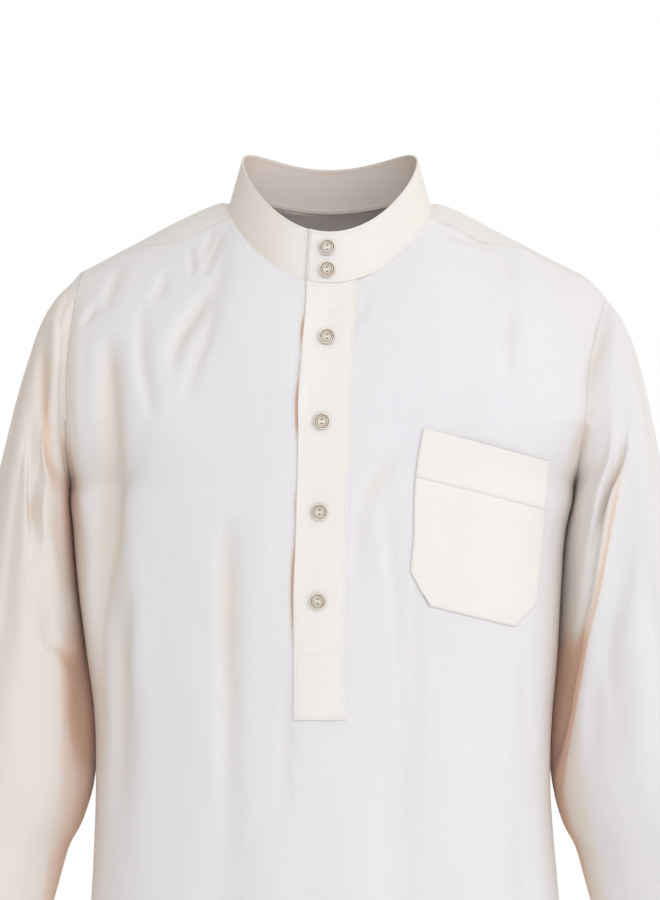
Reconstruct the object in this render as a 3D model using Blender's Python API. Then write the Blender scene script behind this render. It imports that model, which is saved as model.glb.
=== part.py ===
"""A long plain robe with a band collar, a half placket and a chest pocket, hollow as it hangs when worn.

Units are metres. The front faces -Y, the wearer's left is +X and up is +Z. The origin is the middle of the
neck, level with the collar seam at the sides, where the wearer carries the robe.
Each cloth piece is a grid of points on its outer face. All the pieces share the points along their seams,
and each wall is that grid with a second one inside it, drawn back a little from every seam.
"""

import math
from collections import namedtuple

import bmesh
import bpy
import numpy as np
from mathutils import Vector
from mathutils.bvhtree import BVHTree

MM = 0.001

# Cloth walls
CLOTH_WALL = 1.5 * MM
COLLAR_WALL = 1.8 * MM
TRIM_WALL = 1.2 * MM
GAP = 0.3 * MM
SEAM_DRAW_BACK = 0.2 * MM
ARMHOLE_GAP = 0.35 * MM

# Heights of the body
CHEST_Z = -0.190
ARMPIT_Z = -0.250
HEM_Z = -1.400

# The collar seam is an oval seen from above, tilted down and scooped at the front
NECK_HALF_WIDTH = 0.090
NECK_HALF_DEPTH = 0.068
NECK_CENTRE_Y = -0.009
NECK_SIDE_Z = 0.001
NECK_TILT = 0.0345
NECK_SCOOP = 0.0356
NECK_CORNER_Y = -0.023

# Shoulder ridge, and the seam in front of it
RIDGE_Y = 0.010
RIDGE_NECK_X = 0.0896
RIDGE_NECK_Z = 0.010
RIDGE_SLOPE = 0.494
RIDGE_DROP_X = 0.222
RIDGE_DROP = 16.5
RIDGE_CURVE = 16.5
SEAM_FORWARD_AT_NECK = 0.033
SEAM_FORWARD_AT_TIP = 0.015
SEAM_TAPER = (0.130, 0.185)
RIGHT_TIP_X = -0.2225
LEFT_TIP_X = 0.2470
BLADE_FULLNESS = 2.3

# How steeply the front starts down from the shoulder seam, in degrees below level: so much, more of it
# towards the middle, and less towards the shoulder's tip. Then its curve's handles, as shares of its length.
UPPER_LEAN = 47.0
UPPER_LEAN_MIDDLE = 24.0
UPPER_LEAN_TIP = 17.0
UPPER_HANDLES = (0.30, 0.38)

# Collar
COLLAR_HEIGHT_FRONT = 0.0445
COLLAR_HEIGHT_BACK = 0.0400
COLLAR_LEAN_IN = 0.0115
COLLAR_BACK_LEAN = 0.25
COLLAR_SIDE_SHIFT = 0.004
COLLAR_LAP_OUT = 0.0024
COLLAR_LAP_X = (0.024, 0.070)
COLLAR_ROWS = 3

# Placket: the strip, its slit and the button strip inside
PLACKET_HALF_WIDTH = 0.02225
PLACKET_TOP_X = 0.0015
PLACKET_END_Z = -0.4475
UNDER_END_Z = -0.400
SLIT_HALF_WIDTH = 0.0015
SLIT_END_Z = -0.386

# Pocket, as seen from the front: its top left corner and its two edges from there
POCKET_CORNER = (0.0802, -0.1960)
POCKET_ACROSS = (0.1115, -0.0288)
POCKET_DOWN = (-0.0135, -0.1485)
POCKET_BAND_SHARE = 0.285
POCKET_CLIP = 0.165
POCKET_STEPS_ACROSS = 9
POCKET_BAND_STEPS = 3
POCKET_BODY_STEPS = 5
POCKET_CLIP_STEPS = 3
POCKET_BULGE = 2.2 * MM
POCKET_SIDE_BOW = 3.0 * MM
POCKET_BOW_SHARE = 0.6
POCKET_EDGE_OFF = 0.8 * MM
NORMAL_REACH = 0.009

# Buttons
BUTTON_RADIUS = 7.3 * MM
BUTTON_THICKNESS = 2.6 * MM
BUTTON_SIDES = 20
BUTTON_OFF_CENTRE = -0.0020
COLLAR_BUTTON_Z = (-0.0385, -0.0580)
PLACKET_BUTTON_Z = (-0.1175, -0.1905, -0.2683, -0.3449)

# Columns and rows of the grids
SEAM_STEPS = 6
NECK_SIDE_STEPS = 5
NECK_BACK_STEPS = 8
UPPER_STEPS = 9
RIDGE_SAMPLES = 12
BLADE_SAMPLES = 60
NECK_SHARE_FRONT = 0.36
NECK_SHARE_BACK = 0.42

# One row for each height of the body. Seen from the front: where its two side seams or armholes and its
# placket line lie. Seen from above: how far its front, back and sides reach, and through how many degrees
# the front and the back turn from the middle to the side.
BodyRow = namedtuple(
    "BodyRow", "z right_x left_x centre_x front_y back_y front_side_y back_side_y turn"
)
BODY = [BodyRow(*row) for row in (
    (-0.190, -0.2325, 0.2250, -0.0050, -0.112, 0.108, -0.056, 0.060, 56),
    (-0.212, -0.2325, 0.2215, -0.0055, -0.114, 0.111, -0.044, 0.050, 63),
    (-0.234, -0.2320, 0.2195, -0.0060, -0.115, 0.113, -0.022, 0.030, 74),
    (-0.250, -0.2310, 0.2175, -0.0065, -0.116, 0.114, 0.004, 0.004, 90),
    (-0.290, -0.2285, 0.2105, -0.0075, -0.117, 0.113, 0.005, 0.005, 90),
    (-0.340, -0.2245, 0.2070, -0.0085, -0.117, 0.110, 0.006, 0.006, 90),
    (-0.386, -0.2188, 0.2040, -0.0089, -0.1155, 0.107, 0.006, 0.006, 90),
    (-0.400, -0.2170, 0.2030, -0.0090, -0.115, 0.106, 0.006, 0.006, 90),
    (-0.4475, -0.2105, 0.1985, -0.0090, -0.114, 0.104, 0.006, 0.006, 90),
    (-0.510, -0.2085, 0.1970, -0.0088, -0.114, 0.105, 0.006, 0.006, 90),
    (-0.590, -0.2120, 0.2020, -0.0080, -0.116, 0.110, 0.006, 0.006, 90),
    (-0.680, -0.2190, 0.2110, -0.0065, -0.119, 0.117, 0.006, 0.006, 90),
    (-0.790, -0.2290, 0.2230, -0.0045, -0.124, 0.124, 0.005, 0.005, 90),
    (-0.910, -0.2400, 0.2350, -0.0030, -0.130, 0.131, 0.005, 0.005, 90),
    (-1.040, -0.2500, 0.2470, -0.0015, -0.137, 0.138, 0.005, 0.005, 90),
    (-1.170, -0.2590, 0.2580, -0.0005, -0.144, 0.145, 0.005, 0.005, 90),
    (-1.290, -0.2670, 0.2670, 0.0, -0.150, 0.151, 0.005, 0.005, 90),
    (-1.400, -0.2740, 0.2740, 0.0, -0.156, 0.157, 0.005, 0.005, 90),
)]
FRONT_FLATNESS = 0.80
BACK_FLATNESS = 0.78

# One row for each ring of a sleeve below the armhole: its outer and inner edge, which reaches back past
# the body's side, and half of its depth from front to back.
SleeveRow = namedtuple("SleeveRow", "outer_x outer_y outer_z inner_x inner_y inner_z half_depth")
SLEEVE_RIGHT = [SleeveRow(*row) for row in (
    (-0.2400, 0.002, -0.0750, -0.2350, 0.005, -0.2590, 0.061),
    (-0.2545, 0.000, -0.0970, -0.2370, 0.008, -0.2680, 0.063),
    (-0.2660, -0.003, -0.1265, -0.2375, 0.014, -0.2820, 0.065),
    (-0.2775, -0.007, -0.1640, -0.2365, 0.022, -0.3020, 0.065),
    (-0.2885, -0.011, -0.2100, -0.2335, 0.030, -0.3280, 0.065),
    (-0.3000, -0.016, -0.2620, -0.2285, 0.037, -0.3600, 0.064),
    (-0.3150, -0.022, -0.3350, -0.2200, 0.042, -0.4080, 0.062),
    (-0.3310, -0.030, -0.4180, -0.2140, 0.040, -0.4680, 0.059),
    (-0.3470, -0.039, -0.5080, -0.2250, 0.020, -0.5340, 0.054),
    (-0.3590, -0.045, -0.5780, -0.2390, -0.003, -0.5920, 0.050),
    (-0.3660, -0.048, -0.6320, -0.2510, -0.020, -0.6360, 0.047),
)]
SLEEVE_LEFT = [SleeveRow(*row) for row in (
    (0.2560, 0.002, -0.0920, 0.2215, 0.005, -0.2600, 0.061),
    (0.2665, 0.000, -0.1120, 0.2230, 0.008, -0.2700, 0.063),
    (0.2755, -0.003, -0.1400, 0.2220, 0.014, -0.2850, 0.065),
    (0.2845, -0.007, -0.1760, 0.2190, 0.022, -0.3040, 0.065),
    (0.2940, -0.011, -0.2200, 0.2155, 0.030, -0.3290, 0.065),
    (0.3040, -0.016, -0.2700, 0.2115, 0.037, -0.3600, 0.064),
    (0.3180, -0.022, -0.3400, 0.2060, 0.042, -0.4090, 0.062),
    (0.3330, -0.030, -0.4200, 0.2020, 0.040, -0.4690, 0.059),
    (0.3480, -0.039, -0.5080, 0.2120, 0.020, -0.5350, 0.054),
    (0.3590, -0.045, -0.5780, 0.2260, -0.003, -0.5930, 0.050),
    (0.3660, -0.048, -0.6320, 0.2380, -0.020, -0.6370, 0.047),
)]

# The largest folds of the body. A fold runs at an angle round the body, 0 at the middle of the front and
# 90 at the wearer's left side, from one height to another, and grows from nothing to its full depth.
# A negative depth is a trough.
Fold = namedtuple("Fold", "top_angle top_z low_angle low_z half_width depth")
FOLDS = [Fold(*row) for row in (
    (-57, -0.120, -62, -0.560, 6.0, -0.0050),
    (-46, -0.240, -52, -0.620, 6.0, 0.0035),
    (-24, -0.330, -26, -0.900, 6.0, -0.0040),
    (20, -0.360, 17, -0.900, 5.5, -0.0040),
    (60, -0.430, 57, -0.800, 6.0, -0.0035),
    (-64, -0.560, -66, -1.460, 9.0, 0.0150),
    (-40, -0.640, -43, -1.460, 8.0, -0.0110),
    (-18, -0.620, -20, -1.460, 8.5, 0.0130),
    (4, -0.700, 5, -1.460, 8.0, -0.0105),
    (27, -0.600, 27, -1.460, 9.0, 0.0140),
    (50, -0.660, 51, -1.460, 8.0, -0.0110),
    (71, -0.560, 73, -1.460, 8.5, 0.0135),
    (104, -0.600, 103, -1.460, 9.0, 0.0130),
    (127, -0.560, 128, -1.460, 8.0, -0.0115),
    (150, -0.260, 148, -1.460, 9.5, 0.0140),
    (173, -0.330, 174, -1.460, 8.0, -0.0120),
    (196, -0.300, 197, -1.460, 9.0, 0.0130),
    (218, -0.560, 219, -1.460, 8.0, -0.0110),
    (241, -0.620, 243, -1.460, 9.0, 0.0135),
    (266, -0.620, 266, -1.460, 8.0, -0.0090),
)]
FOLD_GROWTH = 0.75

# The largest folds of each sleeve. Places along it run from 0 at the armhole to 1 at the cuff, and angles
# round it from 0 along the outer edge to 90 at the middle of the front.
SleeveFold = namedtuple("SleeveFold", "top_place top_angle low_place low_angle half_width depth")
SLEEVE_FOLDS = [SleeveFold(*row) for row in (
    (0.10, 62, 0.62, 84, 16, -0.0050),
    (0.34, 24, 0.98, 58, 17, -0.0045),
    (0.30, 128, 0.98, 112, 17, 0.0040),
    (0.16, 236, 0.70, 258, 18, -0.0045),
    (0.42, 300, 1.02, 282, 18, 0.0045),
)]

# Profile of a button, as shares of its radius and thickness, from the middle of its back round its rim to
# the middle of its face
ProfilePoint = namedtuple("ProfilePoint", "radius height")
BUTTON_PROFILE = [ProfilePoint(*row) for row in (
    (0.0, 0.0), (0.72, 0.0), (0.95, 0.30), (1.0, 0.62), (0.93, 0.94), (0.80, 1.0),
    (0.62, 0.74), (0.48, 0.80), (0.36, 0.58), (0.0, 0.52),
)]

# Colours are linear, with roughness
MATERIALS = {
    "panel": ((0.800, 0.780, 0.790), 0.62),
    "sleeve": ((0.790, 0.755, 0.735), 0.62),
    "trim": ((0.850, 0.815, 0.785), 0.58),
    "button": ((0.640, 0.500, 0.360), 0.25),
}


def ease(t):
    """A smooth step from 0 to 1."""
    t = np.clip(t, 0.0, 1.0)
    return t * t * (3.0 - 2.0 * t)


def unit(vectors):
    return vectors / np.maximum(np.linalg.norm(vectors, axis=-1, keepdims=True), 1e-12)


def body_at(name, z):
    """One column of the body's table at any height, on a smooth curve through its rows."""
    heights = np.array([row.z for row in BODY])[::-1]
    values = np.array([getattr(row, name) for row in BODY])[::-1]
    slopes = np.gradient(values, heights)
    z = min(max(z, heights[0]), heights[-1])
    i = min(max(int(np.searchsorted(heights, z)) - 1, 0), len(heights) - 2)
    width = heights[i + 1] - heights[i]
    t = (z - heights[i]) / width
    return float(
        (1 + 2 * t) * (1 - t) ** 2 * values[i]
        + t * (1 - t) ** 2 * width * slopes[i]
        + t * t * (3 - 2 * t) * values[i + 1]
        + t * t * (t - 1) * width * slopes[i + 1]
    )


def neck_point(angle):
    """A point of the collar seam. The angle is 0 at the front and pi at the back."""
    c = math.cos(angle)
    return np.array((
        NECK_HALF_WIDTH * math.sin(angle),
        NECK_CENTRE_Y - NECK_HALF_DEPTH * c,
        NECK_SIDE_Z - NECK_TILT * c - NECK_SCOOP * c * c,
    ))


NECK_CORNER_ANGLE = math.acos((NECK_CENTRE_Y - NECK_CORNER_Y) / NECK_HALF_DEPTH)


def ridge_z(x):
    """Height of the shoulder ridge, a straight slope that falls away past the shoulder's tip."""
    past_tip = max(abs(x) - RIDGE_DROP_X, 0.0)
    return RIDGE_NECK_Z - RIDGE_SLOPE * (abs(x) - RIDGE_NECK_X) - RIDGE_DROP * past_tip**2


def seam_point(x):
    """A point of the forward shoulder seam."""
    taper = float(ease((abs(x) - SEAM_TAPER[0]) / (SEAM_TAPER[1] - SEAM_TAPER[0])))
    forward = SEAM_FORWARD_AT_NECK + (SEAM_FORWARD_AT_TIP - SEAM_FORWARD_AT_NECK) * taper
    return np.array((x, RIDGE_Y - forward, ridge_z(x) - RIDGE_CURVE * forward**2))


def seam_run(side):
    """Points of one shoulder seam from the armhole to the neck. Side is -1 for the wearer's right."""
    tip = RIGHT_TIP_X if side < 0 else LEFT_TIP_X
    corner = neck_point(side * NECK_CORNER_ANGLE)
    points = [seam_point(tip + (corner[0] - tip) * i / SEAM_STEPS) for i in range(SEAM_STEPS)]
    lift = corner[2] - seam_point(corner[0])[2]
    shift = corner[1] - seam_point(corner[0])[1]
    for i, point in enumerate(points):
        share = float(ease(i / SEAM_STEPS))
        point[1] += shift * share
        point[2] += lift * share
    return points


def fold_depth(angle, z):
    """How far the folds move the body's outer face outwards at an angle in degrees and a height."""
    total = 0.0
    for fold in FOLDS:
        along = (fold.top_z - z) / (fold.top_z - fold.low_z)
        if along <= 0.0 or along >= 1.0:
            continue
        middle = fold.top_angle + (fold.low_angle - fold.top_angle) * along
        off = (angle - middle + 180.0) % 360.0 - 180.0
        if fold.low_z < HEM_Z:
            grown = float(ease(along / FOLD_GROWTH))
        else:
            grown = math.sin(math.pi * along) ** 1.5
        total += fold.depth * grown * math.exp(-((off / fold.half_width) ** 2))
    return total


class Column:
    """One column of the front or back: where it starts, and where it runs below."""

    def __init__(self, top, side, share, offset=None):
        self.top = top
        self.side = side
        self.share = share
        self.offset = offset


def front_columns():
    """The front's columns from the wearer's right armhole to the left one."""
    half = PLACKET_HALF_WIDTH
    placket = [-half, -0.5 * half, -SLIT_HALF_WIDTH, SLIT_HALF_WIDTH, 0.5 * half, half]
    columns = []
    for i, point in enumerate(seam_run(-1)):
        columns.append(Column(point, -1, 1.0 - (1.0 - NECK_SHARE_FRONT) * i / SEAM_STEPS))
    for side in (-1, 1):
        edge = math.asin((PLACKET_TOP_X + side * half) / NECK_HALF_WIDTH)
        corner = side * NECK_CORNER_ANGLE
        flank = []
        for i in range(NECK_SIDE_STEPS):
            t = i / NECK_SIDE_STEPS
            top = neck_point(corner + (edge - corner) * t)
            flank.append(Column(top, side, NECK_SHARE_FRONT * (1.0 - t)))
        if side < 0:
            columns += flank
            for offset in placket:
                top = neck_point(math.asin((PLACKET_TOP_X + offset) / NECK_HALF_WIDTH))
                columns.append(Column(top, -1 if offset < 0 else 1, 0.0, offset))
        else:
            columns += flank[::-1]
    for i, point in enumerate(seam_run(1)[::-1]):
        share = NECK_SHARE_FRONT + (1.0 - NECK_SHARE_FRONT) * (i + 1) / SEAM_STEPS
        columns.append(Column(point, 1, share))
    return columns


def back_columns():
    """The back's columns from the wearer's right armhole, over the neck, to the left one."""
    columns = []
    for i, point in enumerate(seam_run(-1)):
        columns.append(Column(point, -1, 1.0 - (1.0 - NECK_SHARE_BACK) * i / SEAM_STEPS))
    for i in range(2 * NECK_BACK_STEPS + 1):
        t = i / (2 * NECK_BACK_STEPS)
        angle = -NECK_CORNER_ANGLE - t * 2.0 * (math.pi - NECK_CORNER_ANGLE)
        side = -1 if t < 0.5 else 1
        columns.append(Column(neck_point(angle), side, NECK_SHARE_BACK * abs(1.0 - 2.0 * t)))
    for i, point in enumerate(seam_run(1)[::-1]):
        share = NECK_SHARE_BACK + (1.0 - NECK_SHARE_BACK) * (i + 1) / SEAM_STEPS
        columns.append(Column(point, 1, share))
    return columns


def section_angle(column, z, has_placket):
    """How far round the body a column lies at a height, in radians from the middle, then the whole turn to
    the side and the half width there."""
    turn = math.radians(body_at("turn", z))
    reach = body_at("left_x" if column.side > 0 else "right_x", z) - body_at("centre_x", z)
    if column.offset is not None:
        return math.asin(abs(column.offset) * math.sin(turn) / abs(reach)), turn, reach
    start = math.asin(PLACKET_HALF_WIDTH * math.sin(turn) / abs(reach)) if has_placket else 0.0
    return start + column.share * (turn - start), turn, reach


def section_point(column, z, is_front):
    """A point of the plain body, without folds, at or below chest height, and its angle in degrees."""
    angle, turn, reach = section_angle(column, z, is_front)
    x = body_at("centre_x", z) + reach * math.sin(angle) / math.sin(turn)
    full = max((math.cos(angle) - math.cos(turn)) / (1.0 - math.cos(turn)), 0.0)
    full = full ** (FRONT_FLATNESS if is_front else BACK_FLATNESS)
    side_y = body_at("front_side_y" if is_front else "back_side_y", z)
    middle_y = body_at("front_y" if is_front else "back_y", z)
    round_body = column.side * math.degrees(angle) * 90.0 / math.degrees(turn)
    return np.array((x, side_y + (middle_y - side_y) * full, z)), round_body


def folded(point, round_body, z, strength=1.0):
    """Moves a point of the body out or in by its folds. The angle is 0 at the front and 180 at the back."""
    outwards = np.array((math.sin(math.radians(round_body)), -math.cos(math.radians(round_body)), 0.0))
    return point + outwards * fold_depth(round_body, z) * strength


def body_angle(round_half, is_front):
    """The angle round the whole body for an angle from the middle of its front or back."""
    return round_half if is_front else 180.0 - round_half


def front_upper(column, steps):
    """Points of a front column from its top to chest height, on a Bezier curve that leans forward."""
    top = column.top
    foot, round_half = section_point(column, CHEST_Z, True)
    centred = 1.0 - min(abs(top[0]) / abs(neck_point(NECK_CORNER_ANGLE)[0]), 1.0)
    outer = float(ease((abs(top[0]) - SEAM_TAPER[0]) / (SEAM_TAPER[1] - SEAM_TAPER[0])))
    lean = math.radians(UPPER_LEAN + UPPER_LEAN_MIDDLE * centred - UPPER_LEAN_TIP * outer)
    length = math.hypot(foot[1] - top[1], foot[2] - top[2])
    high, low = UPPER_HANDLES[0] * length, UPPER_HANDLES[1] * length
    y = (top[1], top[1] - high * math.cos(lean), foot[1], foot[1])
    z = (top[2], top[2] - high * math.sin(lean), foot[2] + low, foot[2])
    points = []
    for i in range(steps + 1):
        t = i / steps
        weights = ((1 - t) ** 3, 3 * t * (1 - t) ** 2, 3 * t * t * (1 - t), t**3)
        drift = float(ease(t)) * (1.0 - column.share) + math.sin(math.pi * t / 2.0) * column.share
        point = np.array((
            top[0] + (foot[0] - top[0]) * drift,
            sum(w * v for w, v in zip(weights, y)),
            sum(w * v for w, v in zip(weights, z)),
        ))
        points.append(folded(point, body_angle(round_half, True), point[2], float(ease(2.0 * t))))
    return points


def back_upper(column, steps):
    """Points of a back column: over the shoulder ridge where it starts in front of it, then down the back
    along a quarter of a superellipse to chest height."""
    top = column.top
    foot, round_half = section_point(column, CHEST_Z, False)
    reach = foot[1] - RIDGE_Y
    power = BLADE_FULLNESS
    if top[1] < RIDGE_Y:
        peak = top[2] + RIDGE_CURVE * (RIDGE_Y - top[1]) ** 2
        dense = [
            (y, peak - RIDGE_CURVE * (RIDGE_Y - y) ** 2) for y in np.linspace(top[1], RIDGE_Y, RIDGE_SAMPLES)
        ]
        start = 0.0
    else:
        fall = 1.0 - (1.0 - ((top[1] - RIDGE_Y) / reach) ** power) ** (1.0 / power)
        peak = (top[2] - CHEST_Z * fall) / (1.0 - fall)
        dense = []
        start = ((top[1] - RIDGE_Y) / reach) ** (power / 2.0)
    for s in np.linspace(math.asin(start), math.pi / 2.0, BLADE_SAMPLES)[(1 if dense else 0):]:
        y = RIDGE_Y + reach * math.sin(s) ** (2.0 / power)
        z = CHEST_Z + (peak - CHEST_Z) * max(math.cos(s), 0.0) ** (2.0 / power)
        dense.append((y, z))
    dense = np.array(dense)
    dense[0] = top[1:]
    run = np.concatenate(([0.0], np.cumsum(np.linalg.norm(np.diff(dense, axis=0), axis=1))))
    points = []
    for i in range(steps + 1):
        t = i / steps
        place = t * run[-1]
        point = np.array((
            top[0] + (foot[0] - top[0]) * math.sin(math.pi * t / 2.0),
            np.interp(place, run, dense[:, 0]),
            np.interp(place, run, dense[:, 1]),
        ))
        points.append(folded(point, body_angle(round_half, False), point[2], float(ease(2.0 * t))))
    return points


def body_grid(columns, is_front):
    """The outer face of the front or back, one row for each height and one column for each column."""
    lower = [row.z for row in BODY[1:]]
    grid = []
    for column in columns:
        points = front_upper(column, UPPER_STEPS) if is_front else back_upper(column, UPPER_STEPS)
        for z in lower:
            point, round_half = section_point(column, z, is_front)
            points.append(folded(point, body_angle(round_half, is_front), z))
        grid.append(points)
    return np.array(grid).transpose(1, 0, 2)


def row_at(z):
    """The row of the front's and back's grids at one of the heights in the body's table."""
    return UPPER_STEPS + [row.z for row in BODY].index(z)


def sleeve_grid(armhole, rows):
    """The outer face of a sleeve. Its first ring is the armhole, from the shoulder's tip down the front,
    past the armpit and up the back. The other rings are ovals from the sleeve's table."""
    run = np.linalg.norm(np.diff(armhole, axis=0, append=armhole[:1]), axis=1)
    low = int(np.argmin(armhole[:, 2]))
    front = np.concatenate(([0.0], np.cumsum(run[:low])))
    back = np.concatenate(([0.0], np.cumsum(run[low:])))
    angles = np.concatenate((math.pi * front / front[-1], math.pi + math.pi * (back / back[-1])[1:-1]))
    rings = [armhole]
    for i, row in enumerate(rows):
        outer = np.array((row.outer_x, row.outer_y, row.outer_z))
        inner = np.array((row.inner_x, row.inner_y, row.inner_z))
        place = (i + 1) / len(rows)
        ring = []
        for angle in angles:
            spoke = (outer - inner) / 2.0 * math.cos(angle)
            spoke += np.array((0.0, -row.half_depth, 0.0)) * math.sin(angle)
            fold = sleeve_fold_depth(place, math.degrees(angle))
            ring.append((outer + inner) / 2.0 + spoke + unit(spoke) * fold)
        rings.append(np.array(ring))
    return np.array(rings)


def sleeve_fold_depth(place, angle):
    """How far the folds move a sleeve's outer face outwards."""
    total = 0.0
    for fold in SLEEVE_FOLDS:
        along = (place - fold.top_place) / (fold.low_place - fold.top_place)
        if along <= 0.0 or along >= 1.0:
            continue
        middle = fold.top_angle + (fold.low_angle - fold.top_angle) * along
        off = (angle - middle + 180.0) % 360.0 - 180.0
        total += fold.depth * math.sin(math.pi * along) * math.exp(-((off / fold.half_width) ** 2))
    return total


def collar_grid(neckline):
    """The outer face of the collar, a closed band from its seam up, along the neckline's points."""
    grid = [neckline]
    for row in range(1, COLLAR_ROWS + 1):
        rise = row / COLLAR_ROWS
        points = []
        for point in neckline:
            frontness = np.clip((NECK_CENTRE_Y - point[1]) / NECK_HALF_DEPTH, -1.0, 1.0)
            height = COLLAR_HEIGHT_BACK + (COLLAR_HEIGHT_FRONT - COLLAR_HEIGHT_BACK) * (1 + frontness) / 2
            inwards_y = frontness * (1.0 if frontness > 0 else COLLAR_BACK_LEAN)
            inwards = np.array((-point[0] / NECK_HALF_WIDTH, inwards_y, 0.0))
            sideways = np.array((0.0, COLLAR_SIDE_SHIFT * (1.0 - abs(frontness)), height))
            points.append(point + rise * (sideways + inwards * COLLAR_LEAN_IN))
        grid.append(np.array(points))
    return np.array(grid)


def cell_normals(grid, closed):
    """The normal of each cell, scaled by its area."""
    a = grid[:-1]
    b = grid[1:]
    if closed:
        return np.cross(np.roll(a, -1, 1) - b, np.roll(b, -1, 1) - a)
    return np.cross(a[:, 1:] - b[:, :-1], b[:, 1:] - a[:, :-1])


def outward_normals(panels, middles):
    """A smooth outward normal at every grid point. On a seam it is halfway between the panels' own."""
    shared = {}
    keys = {}
    for name, (grid, closed) in panels.items():
        normals = cell_normals(grid, closed)
        outwards = grid[:-1, : normals.shape[1]] - middles[name](grid[:-1, : normals.shape[1]])
        if (normals * outwards).sum() < 0.0:
            normals = -normals
        rows, cols = grid.shape[:2]
        own = {}
        for i in range(rows - 1):
            for j in range(normals.shape[1]):
                for key in corner_keys(grid, i, j, cols):
                    own[key] = own.get(key, 0.0) + normals[i, j]
        for key, total in own.items():
            shared[key] = shared.get(key, 0.0) + unit(total)
        keys[name] = [[point_key(p) for p in row] for row in grid]
    return {
        name: unit(np.array([[shared[key] for key in row] for row in rows])) for name, rows in keys.items()
    }


def point_key(point):
    return tuple(np.round(point, 6) + 0.0)


def corner_keys(grid, i, j, cols):
    k = (j + 1) % cols
    return [point_key(grid[row, col]) for row in (i, i + 1) for col in (j, k)]


def inwards_from(edge, next_line, closed):
    """For each point of a grid's edge, the direction into the piece, square to the edge."""
    if closed:
        tangents = unit(np.roll(edge, -1, 0) - np.roll(edge, 1, 0))
    else:
        tangents = unit(np.gradient(edge, axis=0))
    steps = next_line - edge
    square = steps - tangents * (steps * tangents).sum(axis=1, keepdims=True)
    return unit(square)


def drawn_back(grid, closed, amount):
    """The grid with each of its edges moved a little into the piece."""
    moved = grid.copy()
    moved[0] += inwards_from(grid[0], grid[1], closed) * amount
    moved[-1] += inwards_from(grid[-1], grid[-2], closed) * amount
    if not closed:
        moved[:, 0] += inwards_from(grid[:, 0], grid[:, 1], False) * amount
        moved[:, -1] += inwards_from(grid[:, -1], grid[:, -2], False) * amount
    return moved


def new_object(name, mesh_data, material, sharp=40.0):
    mesh = bpy.data.meshes.new(name)
    mesh_data.to_mesh(mesh)
    mesh_data.free()
    mesh.shade_smooth()
    mesh.set_sharp_from_angle(angle=math.radians(sharp))
    mesh.materials.append(material)
    obj = bpy.data.objects.new(name, mesh)
    bpy.context.scene.collection.objects.link(obj)
    return obj


def add_wall(name, face, back, closed, material, missing=lambda i, j: False):
    """A closed wall between two grids, with a side strip round its edge and round any missing cells."""
    rows, cols = face.shape[:2]
    across = cols if closed else cols - 1
    mesh = bmesh.new()
    front = [[mesh.verts.new(Vector(p)) for p in row] for row in face]
    rear = [[mesh.verts.new(Vector(p)) for p in row] for row in back]

    def present(i, j):
        if closed:
            j %= cols
        return 0 <= i < rows - 1 and 0 <= j < across and not missing(i, j)

    for i in range(rows - 1):
        for j in range(across):
            if not present(i, j):
                continue
            k = (j + 1) % cols
            corners = ((i, j), (i, k), (i + 1, k), (i + 1, j))
            mesh.faces.new([front[r][c] for r, c in corners])
            mesh.faces.new([rear[r][c] for r, c in reversed(corners)])
            neighbours = ((i - 1, j), (i, j + 1), (i + 1, j), (i, j - 1))
            for side, neighbour in enumerate(neighbours):
                if present(*neighbour):
                    continue
                (r0, c0), (r1, c1) = corners[side], corners[(side + 1) % 4]
                mesh.faces.new([front[r1][c1], front[r0][c0], rear[r0][c0], rear[r1][c1]])
    loose = [v for v in mesh.verts if not v.link_faces]
    bmesh.ops.delete(mesh, geom=loose, context="VERTS")
    bmesh.ops.recalc_face_normals(mesh, faces=mesh.faces)
    return new_object(name, mesh, material)


def add_cloth(name, grid, normals, material, wall=CLOTH_WALL, missing=lambda i, j: False):
    """A cloth piece: its outer face and the same grid moved in by the wall."""
    face = drawn_back(grid, False, SEAM_DRAW_BACK)
    rear = drawn_back(grid - normals * wall, False, SEAM_DRAW_BACK)
    return add_wall(name, face, rear, False, material, missing)


def add_panel(name, grid, normals, material, missing=lambda i, j: False):
    """The front or the back. At its sides the inner edge never lies further out than the outer one."""
    face = drawn_back(grid, False, SEAM_DRAW_BACK)
    rear = drawn_back(grid - normals * CLOTH_WALL, False, SEAM_DRAW_BACK)
    rear[:, 0, 0] = np.maximum(rear[:, 0, 0], face[:, 0, 0])
    rear[:, -1, 0] = np.minimum(rear[:, -1, 0], face[:, -1, 0])
    return add_wall(name, face, rear, False, material, missing)


def add_sleeve(name, grid, normals, material):
    """A sleeve, whose armhole end is moved straight out from the body's side by the seam's gap."""
    side = math.copysign(1.0, grid[0, 0, 0])
    face = grid.copy()
    face[0, :, 0] += side * ARMHOLE_GAP
    rear = grid - normals * CLOTH_WALL
    rear[0, :, 0] = side * np.maximum(side * rear[0, :, 0], side * face[0, :, 0])
    return add_wall(name, face, rear, True, material)


def make_material(name):
    colour, roughness = MATERIALS[name]
    material = bpy.data.materials.new(name)
    material.use_nodes = True
    shader = material.node_tree.nodes["Principled BSDF"]
    shader.inputs["Base Color"].default_value = (*colour, 1.0)
    shader.inputs["Roughness"].default_value = roughness
    shader.inputs["Metallic"].default_value = 0.0
    return material


def surface_of(grid):
    """The grid's outer face as a tree that can be hit by rays."""
    rows, cols = grid.shape[:2]
    points = [Vector(p) for p in grid.reshape(-1, 3)]
    faces = []
    for i in range(rows - 1):
        for j in range(cols - 1):
            a = i * cols + j
            faces.append((a, a + 1, a + cols + 1, a + cols))
    return BVHTree.FromPolygons(points, faces)


def hit_from_front(surface, x, z):
    """Where a line straight into the robe's front meets a surface, and the normal there, facing out."""
    place, normal, _, _ = surface.ray_cast(Vector((x, -1.0, z)), Vector((0.0, 1.0, 0.0)))
    if normal.y > 0.0:
        normal = -normal
    return np.array(place), np.array(normal)


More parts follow.
